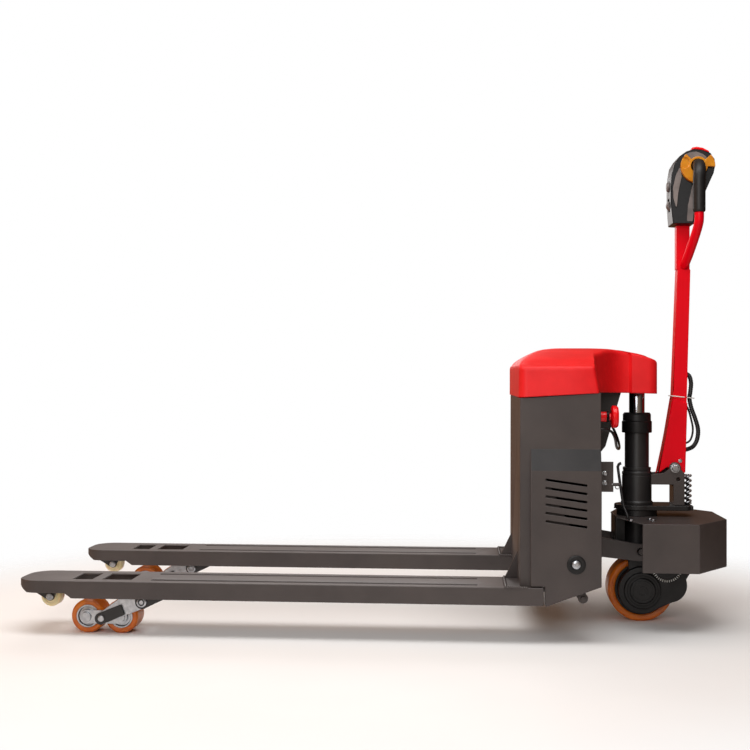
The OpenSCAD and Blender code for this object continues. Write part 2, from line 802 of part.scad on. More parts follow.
module bearing_seat() {
    color("dimgray") difference() {
        union() {
            translate([axis_x, 0, seat_z]) cylinder(r = seat_r, h = seat_h);
            for (s = [-1, 1]) bar_y(axis_x, s * (seat_r - 8 + arm_y + arm_t + 4) / 2, trunnion_z, trunnion_r,
                arm_y + arm_t + 4 - seat_r + 8);
        }
        translate([axis_x, 0, seat_z - cut]) cylinder(r = post_r + run_fit, h = seat_h + 2 * cut);
    }
}

module steering_post() {
    color([0.2, 0.2, 0.2]) {
        translate([axis_x, 0, yoke_z + yoke_t]) cylinder(r = post_r, h = base_z - yoke_z - yoke_t);
        translate([axis_x, 0, cover_top_z]) cylinder(r = 52, h = base_z - cover_top_z + 0.1);
        translate([axis_x, 0, base_z]) linear_extrude(base_t) union() {
            circle(58);
            translate([0, -55]) square([118, 110]);
            translate([118, -43]) square([20, 86]);
            for (y = [-43, 43]) translate([118, y]) circle(12);
        }
    }
}

module lift_cylinder() {
    bore = rod_r + run_fit;
    bore_z = rod_low_z - 56;
    shoulder = 6;
    color([0.12, 0.12, 0.12]) difference() {
        translate([axis_x, 0, base_top_z]) rotate_extrude() polygon([
            [0, 0],
            [body_r + 3, 0],
            [body_r + 3, 6],
            [body_r, 10],
            [body_r, body_top_z - base_top_z - shoulder],
            [body_r - shoulder, body_top_z - base_top_z],
            [body_r - 2, body_top_z - base_top_z],
            [body_r - 2, flange_top_z - base_top_z],
            [tube_r, flange_top_z - base_top_z],
            [tube_r, cylinder_h],
            [0, cylinder_h]]);
        translate([axis_x, 0, bore_z]) cylinder(r = bore, h = gland_top_z - bore_z);
    }
}

module gland_nut() {
    collar_h = 30;
    grooves = 24;
    color([0.1, 0.1, 0.1]) translate([axis_x, 0, gland_z]) difference() {
        union() {
            cylinder(r = tube_r + 7.5, h = collar_h);
            cylinder(r = tube_r + 5, h = gland_top_z - gland_z);
        }
        translate([0, 0, -cut]) cylinder(r = rod_r + run_fit, h = gland_top_z - gland_z + 2 * cut);
        for (i = [0 : grooves - 1]) rotate([0, 0, i * 360 / grooves])
            translate([tube_r + 7.5, 0, -cut]) cylinder(r = 1.2, h = collar_h - 4, $fn = 16);
    }
}

// ---------------------------------------------------------------- tiller bracket and spring

module tiller_bracket() {
    ear_y = 30;
    ear_thick = 8;
    arm_x = axis_x + body_r - 6;
    post_x = pin_x - 4;
    post_w = 28;
    arm_low = base_top_z + 53;
    color("dimgray") difference() {
        union() {
            for (s = [-1, 1]) plate_y(s * ear_y, ear_thick) union() {
                polygon([
                    [arm_x, arm_low], [post_x, arm_low], [post_x, base_top_z],
                    [post_x + post_w, base_top_z], [post_x + post_w, tiller_z - 14],
                    [pin_x + 12, tiller_z], [pin_x - 12, tiller_z], [pin_x - 28, arm_low + 30],
                    [arm_x, arm_low + 26]]);
                translate([pin_x, tiller_z]) circle(15);
            }
            translate([post_x, -ear_y, base_top_z]) cube([8, 2 * ear_y, 50]);
        }
        bar_y(pin_x, 0, tiller_z, tiller_pin_r, 2 * ear_y + 20);
        bar_y(pin_x + 8, 0, tiller_z - 29, 5, 2 * ear_y + 20);
        translate([axis_x, 0, base_top_z - cut]) cylinder(r = body_r, h = 120);
    }
}

// The return spring, as its coils' rings on a thin sleeve
module tiller_spring() {
    coils = 6;
    wire_r = 2.5;
    coil_r = 8.2;
    free_h = 78;
    color("silver") translate([spring_x, 0, base_top_z]) rotate_extrude() union() {
        translate([coil_r - 1, 0]) square([2, free_h]);
        for (i = [0 : coils - 1])
            translate([coil_r, wire_r + i * (free_h - 2 * wire_r) / (coils - 1)]) circle(r = wire_r, $fn = 16);
    }
}

// ---------------------------------------------------------------- drive unit

module drive_yoke() {
    plate_in = wheel_w / 2 + 4;
    plate_t = 10;
    half_x = 45;
    color([0.1, 0.1, 0.1]) difference() {
        union() {
            translate([axis_x - half_x, -(plate_in + plate_t), yoke_z])
                cube([2 * half_x + 6, 2 * (plate_in + plate_t), yoke_t]);
            plate_y(plate_in + plate_t / 2, plate_t) union() {
                polygon([[axis_x - 40, yoke_z + 1], [axis_x + 50, yoke_z + 1],
                    [wheel_x + 22, wheel_r], [wheel_x - 22, wheel_r]]);
                translate([wheel_x, wheel_r]) circle(22);
            }
        }
        bar_y(wheel_x, plate_in, wheel_r, wheel_axle_r, 40);
    }
    color([0.1, 0.1, 0.1])
        bar_y(wheel_x, (plate_in + plate_t - gearbox_in) / 2, wheel_r, wheel_axle_r,
            plate_in + plate_t + gearbox_in);
}

module gearbox() {
    y = -(gearbox_in + gearbox_w / 2);
    color([0.08, 0.08, 0.08]) union() {
        plate_y(y, gearbox_w) union() {
            link2d([wheel_x, wheel_r], [lobe_x, lobe_z], 60, 44);
            link2d([lobe_x + 16, lobe_z + 14], [motor_x, motor_z], 22, 34);
        }
        // stepped end cap over the wheel centre
        bar_y(wheel_x, y - gearbox_w / 2 - 3, wheel_r, 46, 6.2);
        bar_y(wheel_x, y - gearbox_w / 2 - 7, wheel_r, 32, 4.2);
        // foot up to the yoke
        translate([axis_x - 28, -(gearbox_in + 15), wheel_r + 25])
            cube([56, 13, yoke_z - wheel_r - 25]);
    }
}

module drive_motor() {
    length = 2 * 58;
    color([0.15, 0.15, 0.15]) {
        bar_y(motor_x, -gearbox_in + length / 2 + 0.2, motor_z, motor_r, length - 20);
        bar_y(motor_x, -gearbox_in + 5.2, motor_z, 30, 10.4);
    }
}

// Drive cover outline from above, inset by d
module cover_outline(d) {
    front = axis_x - 61;
    shoulder = axis_x - 15;
    polygon([
        [front + d, -60], [shoulder + d, -cover_half_w + d], [axis_x + 122 - d, -cover_half_w + d],
        [axis_x + cover_reach - d, -90 + d / 2], [axis_x + cover_reach - d, 90 - d / 2],
        [axis_x + 122 - d, cover_half_w - d], [shoulder + d, cover_half_w - d], [front + d, 60]]);
}

module drive_cover() {
    h = cover_top_z - cover_low_z;
    open_x = 16;
    color("dimgray") union() {
        difference() {
            translate([0, 0, cover_low_z]) linear_extrude(h) cover_outline(0);
            translate([0, 0, cover_low_z - cut]) linear_extrude(h - cover_t + cut) cover_outline(cover_t);
            // the front stays open between the shoulders
            translate([axis_x - 80, -cover_half_w + cover_t, cover_low_z - cut])
                cube([80 - open_x + 4, 2 * (cover_half_w - cover_t), h - cover_t + cut]);
            translate([axis_x, 0, cover_top_z - 2 * cover_t]) cylinder(r = post_r + 1, h = 4 * cover_t);
        }
        translate([axis_x - 61, -48, cover_top_z - 68]) cube([5, 96, 68 - cover_t + 0.1]);
    }
}

module drive_fasteners() {
    ear = 34;
    color("silver") {
        bar_y(pin_x, 0, tiller_z, tiller_pin_r, 2 * ear + 4);
        for (s = [-1, 1]) bar_y(pin_x, s * (ear + 3), tiller_z, 11, 6);
        for (p = [[-35, -150], [16, -120], [20, -142], [-35, 150], [16, 120], [20, 142]])
            translate([axis_x + p[0], p[1], cover_top_z]) cylinder(r = 6, h = 4, $fn = 6);
    }
}

// Route of the bent rod that guides the cables over the drive cover
guide_route = [[axis_x - 38, -116, cover_top_z + 0.2], [axis_x - 39, -116, cover_top_z + 8],
    [axis_x - 43, -108, cover_top_z + 20], [axis_x - 48, -98, cover_top_z + 40], [axis_x - 57, -72, 394],
    [axis_x - 57, -70, 402], [axis_x - 54, -70, 408], [axis_x - 49, -70, 410]];

module guide_rod() {
    color("black") sweep(spline(guide_route, 3), 3.5, [0, 1, 0]);
}

module wheel_hub() {
    half = wheel_w / 2;
    rim = wheel_r - tyre_t;
    bore = wheel_axle_r + run_fit;
    color([0.1, 0.1, 0.1]) translate([wheel_x, 0, wheel_r]) rotate([90, 0, 0]) rotate_extrude() polygon([
        [bore, -half], [bore + 20, -half], [bore + 24, -half + 8], [rim - 10, -half + 8],
        [rim - 6, -half + 2], [rim, -half + 2], [rim, half - 2], [rim - 6, half - 2],
        [rim - 10, half - 8], [bore + 24, half - 8], [bore + 20, half], [bore, half]]);
}

module wheel_tyre() {
    half = wheel_w / 2;
    rim = wheel_r - tyre_t;
    bevel = 5;
    color("darkorange") translate([wheel_x, 0, wheel_r]) rotate([90, 0, 0]) rotate_extrude($fn = 96) polygon([
        [rim, -half + 2], [wheel_r - bevel, -half], [wheel_r, -half + bevel],
        [wheel_r, half - bevel], [wheel_r - bevel, half], [rim, half - 2]]);
}

// ---------------------------------------------------------------- tiller

module tiller_arm() {
    plate_y0 = 21;
    plate_t = 5;
    split_z = tiller_z + 167;
    lean = 10;
    color("red") difference() {
        union() {
            for (s = [-1, 1]) plate_y(s * plate_y0, plate_t) polygon([
                [pin_x - 40, tiller_z - 14], [pin_x - 3, split_z + 14], [pin_x + 33, split_z],
                [pin_x + 28, tiller_z - 12], [pin_x + 10, tiller_z - 20], [pin_x - 18, tiller_z + 2]]);
            // front web that joins the plates
            plate_y(0, 2 * plate_y0) polygon([
                [pin_x - 39.5, tiller_z - 12], [pin_x - 3.5, split_z + 12], [pin_x + 1.5, split_z + 12],
                [pin_x - 34, tiller_z - 6]]);
            // tube
            plate_y(0, 2 * plate_y0 - plate_t + 1) polygon([
                [pin_x - 5, split_z - 22], [pin_x - 2 + lean, tube_top_z], [pin_x + 31 + lean, tube_top_z],
                [pin_x + 31, split_z - 22]]);
            bar_y(pin_x, 0, tiller_z, 13, 2 * plate_y0 + plate_t + 2);
        }
        bar_y(pin_x, 0, tiller_z, tiller_pin_r + run_fit, 4 * plate_y0);
        plate_y(0, 2 * plate_y0 - plate_t - 5) polygon([
            [pin_x, split_z - 30], [pin_x + 2 + lean, tube_top_z + cut], [pin_x + 27 + lean, tube_top_z + cut],
            [pin_x + 27, split_z - 30]]);
        // hole for the harness in the rear wall
        bar_x(pin_x + 20, 0, harness_route[0][2] - 3, harness_r + 4, 30);
    }
}

// Centre line of the left handle leg, from the tube to the grip
function leg_route(s) = [[pin_x + 26, s * 10, grip_low_z - 126], [pin_x + 32, s * 40, grip_low_z - 101],
    [pin_x + 40, s * 82, grip_low_z - 60], [pin_x + 45, s * (grip_y - 4), grip_low_z - 30],
    [grip_x, s * grip_y, grip_low_z - 14], [grip_x, s * grip_y, grip_low_z - 1]];

module handle_frame() {
    leg_r = 12;
    post_low = tube_top_z;
    head_low = head_top_z - 198;
    color("red") {
        for (s = [-1, 1]) sweep(spline(leg_route(s), 4), leg_r, [1, 0, 0], 12);
        // inner post that carries the head
        translate([pin_x + 6, -14, post_low]) cube([34, 28, head_low - post_low]);
    }
}

// Centre line of a grip, from the leg up and round into the head
function grip_route(s) = [[grip_x, s * grip_y, grip_low_z], [grip_x, s * grip_y, grip_low_z + 40],
    [grip_x, s * grip_y, throttle_z - 44],
    for (i = [1 : 6]) let (a = i * 15) [grip_x + (throttle_x - grip_x) * i / 6,
        s * (grip_y - 40 * (1 - cos(a))), throttle_z - 40 + 40 * sin(a)],
    [throttle_x, s * (head_half + 0.6), throttle_z]];

module hand_grips() {
    color([0.08, 0.08, 0.08]) for (s = [-1, 1]) sweep(spline(grip_route(s), 2), grip_r, [1, 0, 0], 16);
}

// Side view of the head
module head_side2d() {
    x = axis_x;
    z = head_top_z;
    polygon([[x + 86, z - 196], [x + 81, z - 140], [x + 81, z - 105], [x + 83, z - 70], [x + 89, z - 43],
        [x + 101, z - 24], [x + 118, z - 12], [x + 138, z - 6], [x + 160, z - 9], [x + 178, z - 17],
        [x + 189, z - 32], [x + 191, z - 48], [x + 187, z - 68], [x + 178, z - 88],
        [x + 160, z - 130], [x + 145, z - 180], [x + 139, z - 198]]);
}

module belly2d() {
    polygon([[axis_x + 132, head_top_z - 22], [axis_x + 132, head_top_z - 1], [axis_x + 146, head_top_z + 1],
        [axis_x + 161, head_top_z - 2], [axis_x + 178, head_top_z - 11], [axis_x + 172, head_top_z - 30]]);
}

module head_shell() {
    color([0.1, 0.1, 0.1]) difference() {
        plate_y(0, 2 * head_half) head_side2d();
        // pocket of the belly button
        translate([-button_travel / 2 - 0.5, 0, -button_travel - 0.5])
            plate_y(0, belly_w + 5) polygon([[axis_x + 131.5, head_top_z - 23],
                [axis_x + 131.5, head_top_z + 9], [axis_x + 192, head_top_z + 9], [axis_x + 175, head_top_z - 33]]);
        // pockets of the horn button and the lift rocker
        bar_x(axis_x + 70, 0, head_top_z - 96, 13.5, 18 + 2 * button_travel);
        translate([axis_x + 70, -16, head_top_z - 160]) cube([30, 32, 32]);
    }
}

module throttle() {
    wing_in = 52.5;
    wing_t = 13;
    ring = grip_r + 2.5;
    wing_r = 43;
    color("gold") for (s = [-1, 1]) difference() {
        plate_y(s * (wing_in + wing_t / 2), wing_t) difference() {
            translate([throttle_x, throttle_z]) union() {
                circle(ring + 6);
                intersection() {
                    circle(wing_r);
                    union() {
                        polygon([[0, 0], [-80, 82], [-80, -60], [-12, -80]]);
                        polygon([[0, 0], [80, -4], [80, 72]]);
                    }
                }
            }
            translate([throttle_x, throttle_z]) circle(ring);
        }
        // scoop for the thumb
        bar_y(throttle_x - 34, s * (wing_in + wing_t + 8), throttle_z + 8, 14, 24);
    }
}

module belly_button() {
    color("red") plate_y(0, belly_w) belly2d();
}

module horn_button() {
    color("gray") bar_x(axis_x + 76, 0, head_top_z - 96, 12, 12);
}

module lift_rocker() {
    color("gray") difference() {
        bar_y(axis_x + 89, 0, head_top_z - 144, 13, 28);
        translate([axis_x + 92.5, -20, head_top_z - 170]) cube([40, 40, 60]);
    }
}

// Route of the tiller harness: out of the tube, past its tie, round a loop and back in
harness_r = 6;
harness_route = [[pin_x + 27, 0, 642], [pin_x + 41, 0, 634], [pin_x + 46, 0, 615], [pin_x + 44, 0, 590],
    [pin_x + 42, 0, 575], [pin_x + 47, 0, 550], [pin_x + 57, 0, 522], [pin_x + 64, 0, 495],
    [pin_x + 62, 0, 470], [pin_x + 53, 0, 452], [pin_x + 40, 0, 444], [pin_x + 24, 0, 440]];

module tiller_harness() {
    color("black") sweep(spline(harness_route, 3), harness_r, [0, 1, 0]);
}

// ---------------------------------------------------------------- drawing

chassis_frame();
head_beam();
fork("left");  // fork_left
fork("right");  // fork_right
side_pod("left");  // side_pod_left
side_pod("right");  // side_pod_right
rocker_pivots();
nose_brackets();
entry_axles();
link_ears();
link_pins();
hood();
battery();
motor_controller();
pump_unit();
estop_base();
estop_lead();
cable_bracket();
piston_rod();
estop_button();
entry_roller("left");  // entry_roller_left
entry_roller("right");  // entry_roller_right
link_arm("left");  // link_arm_left
link_arm("right");  // link_arm_right
bogie("left");  // bogie_left
bogie("right");  // bogie_right
load_tyre("left", "front");  // load_tyre_left_front
load_tyre("left", "rear");  // load_tyre_left_rear
load_tyre("right", "front");  // load_tyre_right_front
load_tyre("right", "rear");  // load_tyre_right_rear
load_hub("left", "front");  // load_hub_left_front
load_hub("left", "rear");  // load_hub_left_rear
load_hub("right", "front");  // load_hub_right_front
load_hub("right", "rear");  // load_hub_right_rear
push_rod("left");  // push_rod_left
push_rod("right");  // push_rod_right
rocker_frame();
bearing_seat();
steering_post();
lift_cylinder();
gland_nut();
tiller_bracket();
drive_yoke();
gearbox();
drive_motor();
drive_cover();
drive_fasteners();
guide_rod();
tiller_spring();
wheel_hub();
wheel_tyre();
tiller_arm();
handle_frame();
hand_grips();
head_shell();
throttle();
belly_button();
horn_button();
lift_rocker();
tiller_harness();
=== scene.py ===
# %% [markdown]
# # A powered pallet truck, finished in Blender
# The frame comes first. Every moving body of the truck is already in place in metres, with +X towards the
# operator, -X towards the fork tips and +Z up. This lesson adds the looks: rounded steel, moulded plastic,
# polyurethane tyres, a wound spring and the cables. Each piece rides on the body that carries it.

# %% Load the frame
import json
import math

import bmesh
import bpy
from mathutils import Matrix, Vector


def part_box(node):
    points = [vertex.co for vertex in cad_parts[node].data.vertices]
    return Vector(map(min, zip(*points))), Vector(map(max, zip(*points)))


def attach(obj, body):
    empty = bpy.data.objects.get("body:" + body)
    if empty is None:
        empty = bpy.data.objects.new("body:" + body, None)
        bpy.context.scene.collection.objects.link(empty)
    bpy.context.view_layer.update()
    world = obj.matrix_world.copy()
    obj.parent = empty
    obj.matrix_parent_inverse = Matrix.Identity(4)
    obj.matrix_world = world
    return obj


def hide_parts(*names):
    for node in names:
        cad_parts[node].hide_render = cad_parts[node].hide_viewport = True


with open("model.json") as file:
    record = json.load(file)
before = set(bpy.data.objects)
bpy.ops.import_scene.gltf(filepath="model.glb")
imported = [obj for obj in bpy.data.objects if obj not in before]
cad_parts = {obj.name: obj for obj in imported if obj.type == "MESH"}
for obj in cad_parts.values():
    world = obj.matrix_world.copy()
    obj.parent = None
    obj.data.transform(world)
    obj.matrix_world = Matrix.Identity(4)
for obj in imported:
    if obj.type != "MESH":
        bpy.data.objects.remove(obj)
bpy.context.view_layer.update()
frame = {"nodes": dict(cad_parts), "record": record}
nodes = frame["nodes"]
body_of = {node: body for body, members in frame["record"]["behaviour"]["bodies"].items() for node in members}
slot_of = {row["node"]: row["material_slot"] for row in frame["record"]["subparts"]}

# %% [markdown]
# ## Where things are
# A size that the frame already knows is read from it, never typed again. The helper gives the middle of a
# node's box, and the few lengths that the lesson needs often get plain names here.

# %% Places read from the frame
MM = 0.001


def middle(node):
    low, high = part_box(node)
    return (low + high) / 2


def reach(node, axis):
    low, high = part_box(node)
    return high[axis] - low[axis]


axis_x = middle("piston_rod").x
fork_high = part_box("fork_left")[1]
heel_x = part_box("chassis_frame")[0].x
rear_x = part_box("chassis_frame")[1].x
deck_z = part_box("hood")[0].z + 0.013
base_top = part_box("lift_cylinder")[0].z
SIDES = {"left": -1, "right": 1}
print("steering axis at", round(axis_x, 3), "chassis from", round(heel_x, 3), "to", round(rear_x, 3))

# %% [markdown]
# ## Camera
# The truck is seen square from its left side, from a little over three metres, with a moderate telephoto
# lens. Seen from there the far fork shows above the near one. The direction is built from a small yaw, pitch
# and roll, so it can be read and changed.

# %% Camera
CAMERA_AT = Vector((0.2225, -3.179, 0.621))
YAW, PITCH, ROLL = (math.radians(a) for a in (-4.43, 0.25, 0.11))


def aim(yaw, pitch, roll):
    ahead = Vector((math.sin(yaw) * math.cos(pitch), math.cos(yaw) * math.cos(pitch), math.sin(pitch)))
    right = Vector((math.cos(yaw), -math.sin(yaw), 0))
    up = right.cross(ahead)
    turned = math.cos(roll) * right + math.sin(roll) * up
    return Matrix((turned, turned.cross(ahead), -ahead)).transposed()


camera = bpy.data.objects.new("camera", bpy.data.cameras.new("camera"))
bpy.context.scene.collection.objects.link(camera)
camera.data.sensor_width = 36
camera.data.lens = 57.6
camera.matrix_world = Matrix.Translation(CAMERA_AT) @ aim(YAW, PITCH, ROLL).to_4x4()
bpy.context.scene.camera = camera
print("camera", [round(v, 3) for v in camera.location])

# %% [markdown]
# ## Colour
# Paint charts and screens give colours as sRGB hex values, but a renderer adds light in linear values. One
# function turns the first into the second, so every colour below can be read as a hex value.


# %% Hex colour to linear colour
def linear(hex_colour):
    parts = [int(hex_colour[i:i + 2], 16) / 255 for i in (1, 3, 5)]
    return (*(p / 12.92 if p <= 0.04045 else ((p + 0.055) / 1.055) ** 2.4 for p in parts), 1.0)


# %% [markdown]
# ## Light and floor
# Dark satin paint only shows its shape by what it mirrors. The backdrop is white, but what the truck mirrors
# is a dimmer studio: tan beyond the truck, dark at the tiller end and pale overhead, so level faces don't wash
# out. Three large soft lights, above, in front and behind, give the edges their highlights, and a weak warm one
# at the fork end colours the front faces. The floor is plain and pale.

# %% Room light
world = bpy.data.worlds.new("white_room")
bpy.context.scene.world = world
world.use_nodes = True
backdrop = world.node_tree.nodes["Background"]
backdrop.inputs["Color"].default_value = linear("#ffffff")
studio = world.node_tree.nodes.new("ShaderNodeBackground")
studio.inputs["Strength"].default_value = 0.7
direction = world.node_tree.nodes.new("ShaderNodeTexCoord")
upward = world.node_tree.nodes.new("ShaderNodeSeparateXYZ")
shade = world.node_tree.nodes.new("ShaderNodeValToRGB")
STUDIO_TONES = [(0.0, "#e8dccf"), (0.06, "#d8b896"), (0.3, "#a8968a"), (0.62, "#d6d2d0"), (1.0, "#ffffff")]
SIDE_TONES = [(0.0, "#c9a98c"), (0.4, "#ffffff"), (0.72, "#d8d4d4"), (1.0, "#4a4648")]
DEPTH_TONES = [(0.0, "#ffffff"), (0.5, "#f4ece6"), (0.8, "#c8a080"), (1.0, "#b08460")]


def world_ramp(axis, tones):
    """A ramp of tones over one axis of the direction, from -1 to 1."""
    place = world.node_tree.nodes.new("ShaderNodeMapRange")
    place.inputs["From Min"].default_value = -1.0
    ramp = world.node_tree.nodes.new("ShaderNodeValToRGB")
    for k, (position, tone) in enumerate(tones):
        stop = ramp.color_ramp.elements[k] if k < 2 else ramp.color_ramp.elements.new(position)
        stop.position, stop.color = position, linear(tone)
    world.node_tree.links.new(upward.outputs[axis], place.inputs["Value"])
    world.node_tree.links.new(place.outputs["Result"], ramp.inputs["Fac"])
    return ramp


def world_product(first, second):
    product = world.node_tree.nodes.new("ShaderNodeVectorMath")
    product.operation = "MULTIPLY"
    world.node_tree.links.new(first, product.inputs[0])
    world.node_tree.links.new(second, product.inputs[1])
    return product.outputs["Vector"]


for k, (position, tone) in enumerate(STUDIO_TONES):
    stop = shade.color_ramp.elements[k] if k < 2 else shade.color_ramp.elements.new(position)
    stop.position, stop.color = position, linear(tone)
ray = world.node_tree.nodes.new("ShaderNodeLightPath")
choice = world.node_tree.nodes.new("ShaderNodeMixShader")
link = world.node_tree.links.new
link(direction.outputs["Generated"], upward.inputs["Vector"])
link(upward.outputs["Z"], shade.inputs["Fac"])
tones = world_product(world_ramp("X", SIDE_TONES).outputs["Color"],
                      world_ramp("Y", DEPTH_TONES).outputs["Color"])
link(world_product(shade.outputs["Color"], tones), studio.inputs["Color"])
link(ray.outputs["Is Camera Ray"], choice.inputs["Fac"])
link(studio.outputs["Background"], choice.inputs[1])
link(backdrop.outputs["Background"], choice.inputs[2])
link(choice.outputs["Shader"], world.node_tree.nodes["World Output"].inputs["Surface"])
bpy.context.scene.view_settings.view_transform = "Standard"


def soft_light(name, at, towards, size, power, tone="#ffffff"):
    light = bpy.data.objects.new(name, bpy.data.lights.new(name, "AREA"))
    light.data.shape = "RECTANGLE"
    light.data.size, light.data.size_y = size
    light.data.energy = power
    light.data.color = linear(tone)[:3]
    light.location = at
    light.rotation_euler = (Vector(towards) - Vector(at)).to_track_quat("-Z", "Y").to_euler()
    bpy.context.scene.collection.objects.link(light)


soft_light("overhead_softbox", (-0.2, -0.9, 2.9), (0, 0, 0.3), (3.2, 1.4), 56)
soft_light("front_softbox", (-0.3, -3.4, 1.6), (0.2, 0, 0.5), (1.6, 1.6), 40)
soft_light("back_softbox", (-0.8, 2.6, 1.8), (0, 0, 0.4), (2.4, 1.4), 26)
soft_light("warm_bounce", (-2.2, -0.3, 1.2), (0.4, 0, 0.5), (1.2, 1.2), 9, "#e0a878")

floor = bpy.data.objects.new("floor", bpy.data.meshes.new("floor"))
half = 14
floor.data.from_pydata([(-half, -half, 0), (half, -half, 0), (half, half, 0), (-half, half, 0)], [],
                       [(0, 1, 2, 3)])
bpy.context.scene.collection.objects.link(floor)

# %% [markdown]
# ## Two material helpers
# A material starts as one shader with its fixed numbers set on the shader's own sockets. The second helper
# adds any other node with its settings and the links into it, which is all that the patterns need.


# %% Material helpers
def material(name, hex_colour, roughness, metallic=0.0, **sockets):
    made = bpy.data.materials.new(name)
    made.use_nodes = True
    shader = made.node_tree.nodes["Principled BSDF"]
    shader.inputs["Base Color"].default_value = linear(hex_colour)
    shader.inputs["Roughness"].default_value = roughness
    shader.inputs["Metallic"].default_value = metallic
    for socket, value in sockets.items():
        shader.inputs[socket.replace("_", " ")].default_value = value
    return made, shader


def add(made, kind, links=(), values=(), **settings):
    node = made.node_tree.nodes.new(kind)
    for name, value in settings.items():
        setattr(node, name, value)
    for socket, value in dict(values).items():
        node.inputs[socket].default_value = value
    for socket, source in dict(links).items():
        made.node_tree.links.new(source, node.inputs[socket])
    return node


def speckle(made, size_mm, detail=3.0):
    place = add(made, "ShaderNodeTexCoord")
    return add(made, "ShaderNodeTexNoise", {"Vector": place.outputs["Object"]},
               {"Scale": 1000 / size_mm, "Detail": detail, "Roughness": 0.55})


def two_tone(made, shader, pattern, dark, light, low=0.35, high=0.65):
    ramp = add(made, "ShaderNodeValToRGB", {"Fac": pattern.outputs["Fac"]})
    ramp.color_ramp.elements[0].position, ramp.color_ramp.elements[1].position = low, high
    ramp.color_ramp.elements[0].color, ramp.color_ramp.elements[1].color = linear(dark), linear(light)
    made.node_tree.links.new(ramp.outputs["Color"], shader.inputs["Base Color"])


def uneven_gloss(made, shader, pattern, low, high):
    spread = add(made, "ShaderNodeMapRange", {"Value": pattern.outputs["Fac"]}, {"To Min": low, "To Max": high})
    made.node_tree.links.new(spread.outputs["Result"], shader.inputs["Roughness"])


def relief(made, shader, pattern, height_mm, strength=1.0):
    bump = add(made, "ShaderNodeBump", {"Height": pattern.outputs["Fac"]},
               {"Distance": height_mm * MM, "Strength": strength})
    made.node_tree.links.new(bump.outputs["Normal"], shader.inputs["Normal"])


# %% [markdown]
# ## Powder-coated steel
# The forks, chassis and covers are bent mild steel with a baked powder coat in warm graphite. Powder melts
# into a skin with a faint orange peel about 2 mm across. Here it is drawn 5 mm wide, because the true size
# would be lost at this distance. The gloss changes slowly over a panel, where hands and cloths have been.

# %% Powder coats
def graphite_powder_coat():
    made, shader = material("graphite_powder_coat", "#433d3c", 0.4, Specular_IOR_Level=0.4)
    two_tone(made, shader, speckle(made, 160), "#3e3837", "#48413f")
    peel = speckle(made, 5)
    uneven_gloss(made, shader, speckle(made, 90), 0.33, 0.47)
    relief(made, shader, peel, 0.12, 0.5)
    return made


def black_powder_coat():
    made, shader = material("black_powder_coat", "#1d1c1d", 0.42)
    two_tone(made, shader, speckle(made, 70), "#191819", "#232122")
    uneven_gloss(made, shader, speckle(made, 40), 0.34, 0.5)
    relief(made, shader, speckle(made, 4), 0.15, 0.5)
    return made


def red_gloss_enamel():
    made, shader = material("red_gloss_enamel", "#e60018", 0.38, Specular_IOR_Level=0.12, Coat_Weight=0.05,
                            Coat_Roughness=0.12)
    two_tone(made, shader, speckle(made, 120), "#e00017", "#ec001a")
    relief(made, shader, speckle(made, 9), 0.15, 0.4)
    return made


# %% [markdown]
# ## Castings and plated steel
# The gearbox, motor and wheel rim are iron castings dipped in black paint, and the sand leaves a coarse skin.
# Bolts, pins and the roller bogies are zinc plated: a bright metal with a cloudy, slightly blue bloom. The
# piston rod is ground and hard chromed, with fine rings left by the grinding wheel.

# %% Castings, zinc and chrome
def black_cast_iron():
    made, shader = material("black_cast_iron", "#0f0f10", 0.5, Specular_IOR_Level=0.35)
    two_tone(made, shader, speckle(made, 30), "#0b0b0c", "#161516")
    uneven_gloss(made, shader, speckle(made, 14), 0.34, 0.55)
    relief(made, shader, speckle(made, 3), 0.35, 0.7)
    return made


def zinc_plate():
    made, shader = material("zinc_plate", "#c8cbd0", 0.3, 1.0)
    two_tone(made, shader, speckle(made, 11), "#a2a5aa", "#bcbec2")
    uneven_gloss(made, shader, speckle(made, 6), 0.24, 0.36)
    relief(made, shader, speckle(made, 2.5), 0.08, 0.5)
    return made


def hard_chrome():
    made, shader = material("hard_chrome", "#a4abb4", 0.1, 1.0)
    place = add(made, "ShaderNodeTexCoord")
    rings = add(made, "ShaderNodeTexWave", {"Vector": place.outputs["Object"]},
                {"Scale": 60, "Distortion": 1.5, "Detail": 2}, bands_direction="Z")
    uneven_gloss(made, shader, rings, 0.06, 0.16)
    return made


# %% [markdown]
# ## Plastics
# The hood is a rotomoulded shell with a fine leather-like grain, so it scatters light and its red looks
# lighter on top. The control head is glossy black ABS with matt grey side panels, the thumb wings are
# amber nylon, and the stop buttons are glossy red polycarbonate.

# %% Plastics
def grained_red_shell():
    made, shader = material("grained_red_shell", "#e8161b", 0.46, Specular_IOR_Level=0.35)
    two_tone(made, shader, speckle(made, 80), "#e21218", "#ee1a1f")
    place = add(made, "ShaderNodeTexCoord")
    grain = add(made, "ShaderNodeTexVoronoi", {"Vector": place.outputs["Object"]}, {"Scale": 420})
    bump = add(made, "ShaderNodeBump", {"Height": grain.outputs["Distance"]},
               {"Distance": 0.0004, "Strength": 0.5})
    made.node_tree.links.new(bump.outputs["Normal"], shader.inputs["Normal"])
    return made


def gloss_plastic(name, dark, light, roughness, shine=0.35):
    made, shader = material(name, light, roughness, Specular_IOR_Level=shine, Coat_Weight=shine * 0.3,
                            Coat_Roughness=0.12)
    two_tone(made, shader, speckle(made, 40), dark, light)
    relief(made, shader, speckle(made, 6), 0.06, 0.4)
    return made


def matt_plastic(name, dark, light):
    made, shader = material(name, light, 0.55)
    two_tone(made, shader, speckle(made, 25), dark, light)
    relief(made, shader, speckle(made, 2.2), 0.12, 0.6)
    return made


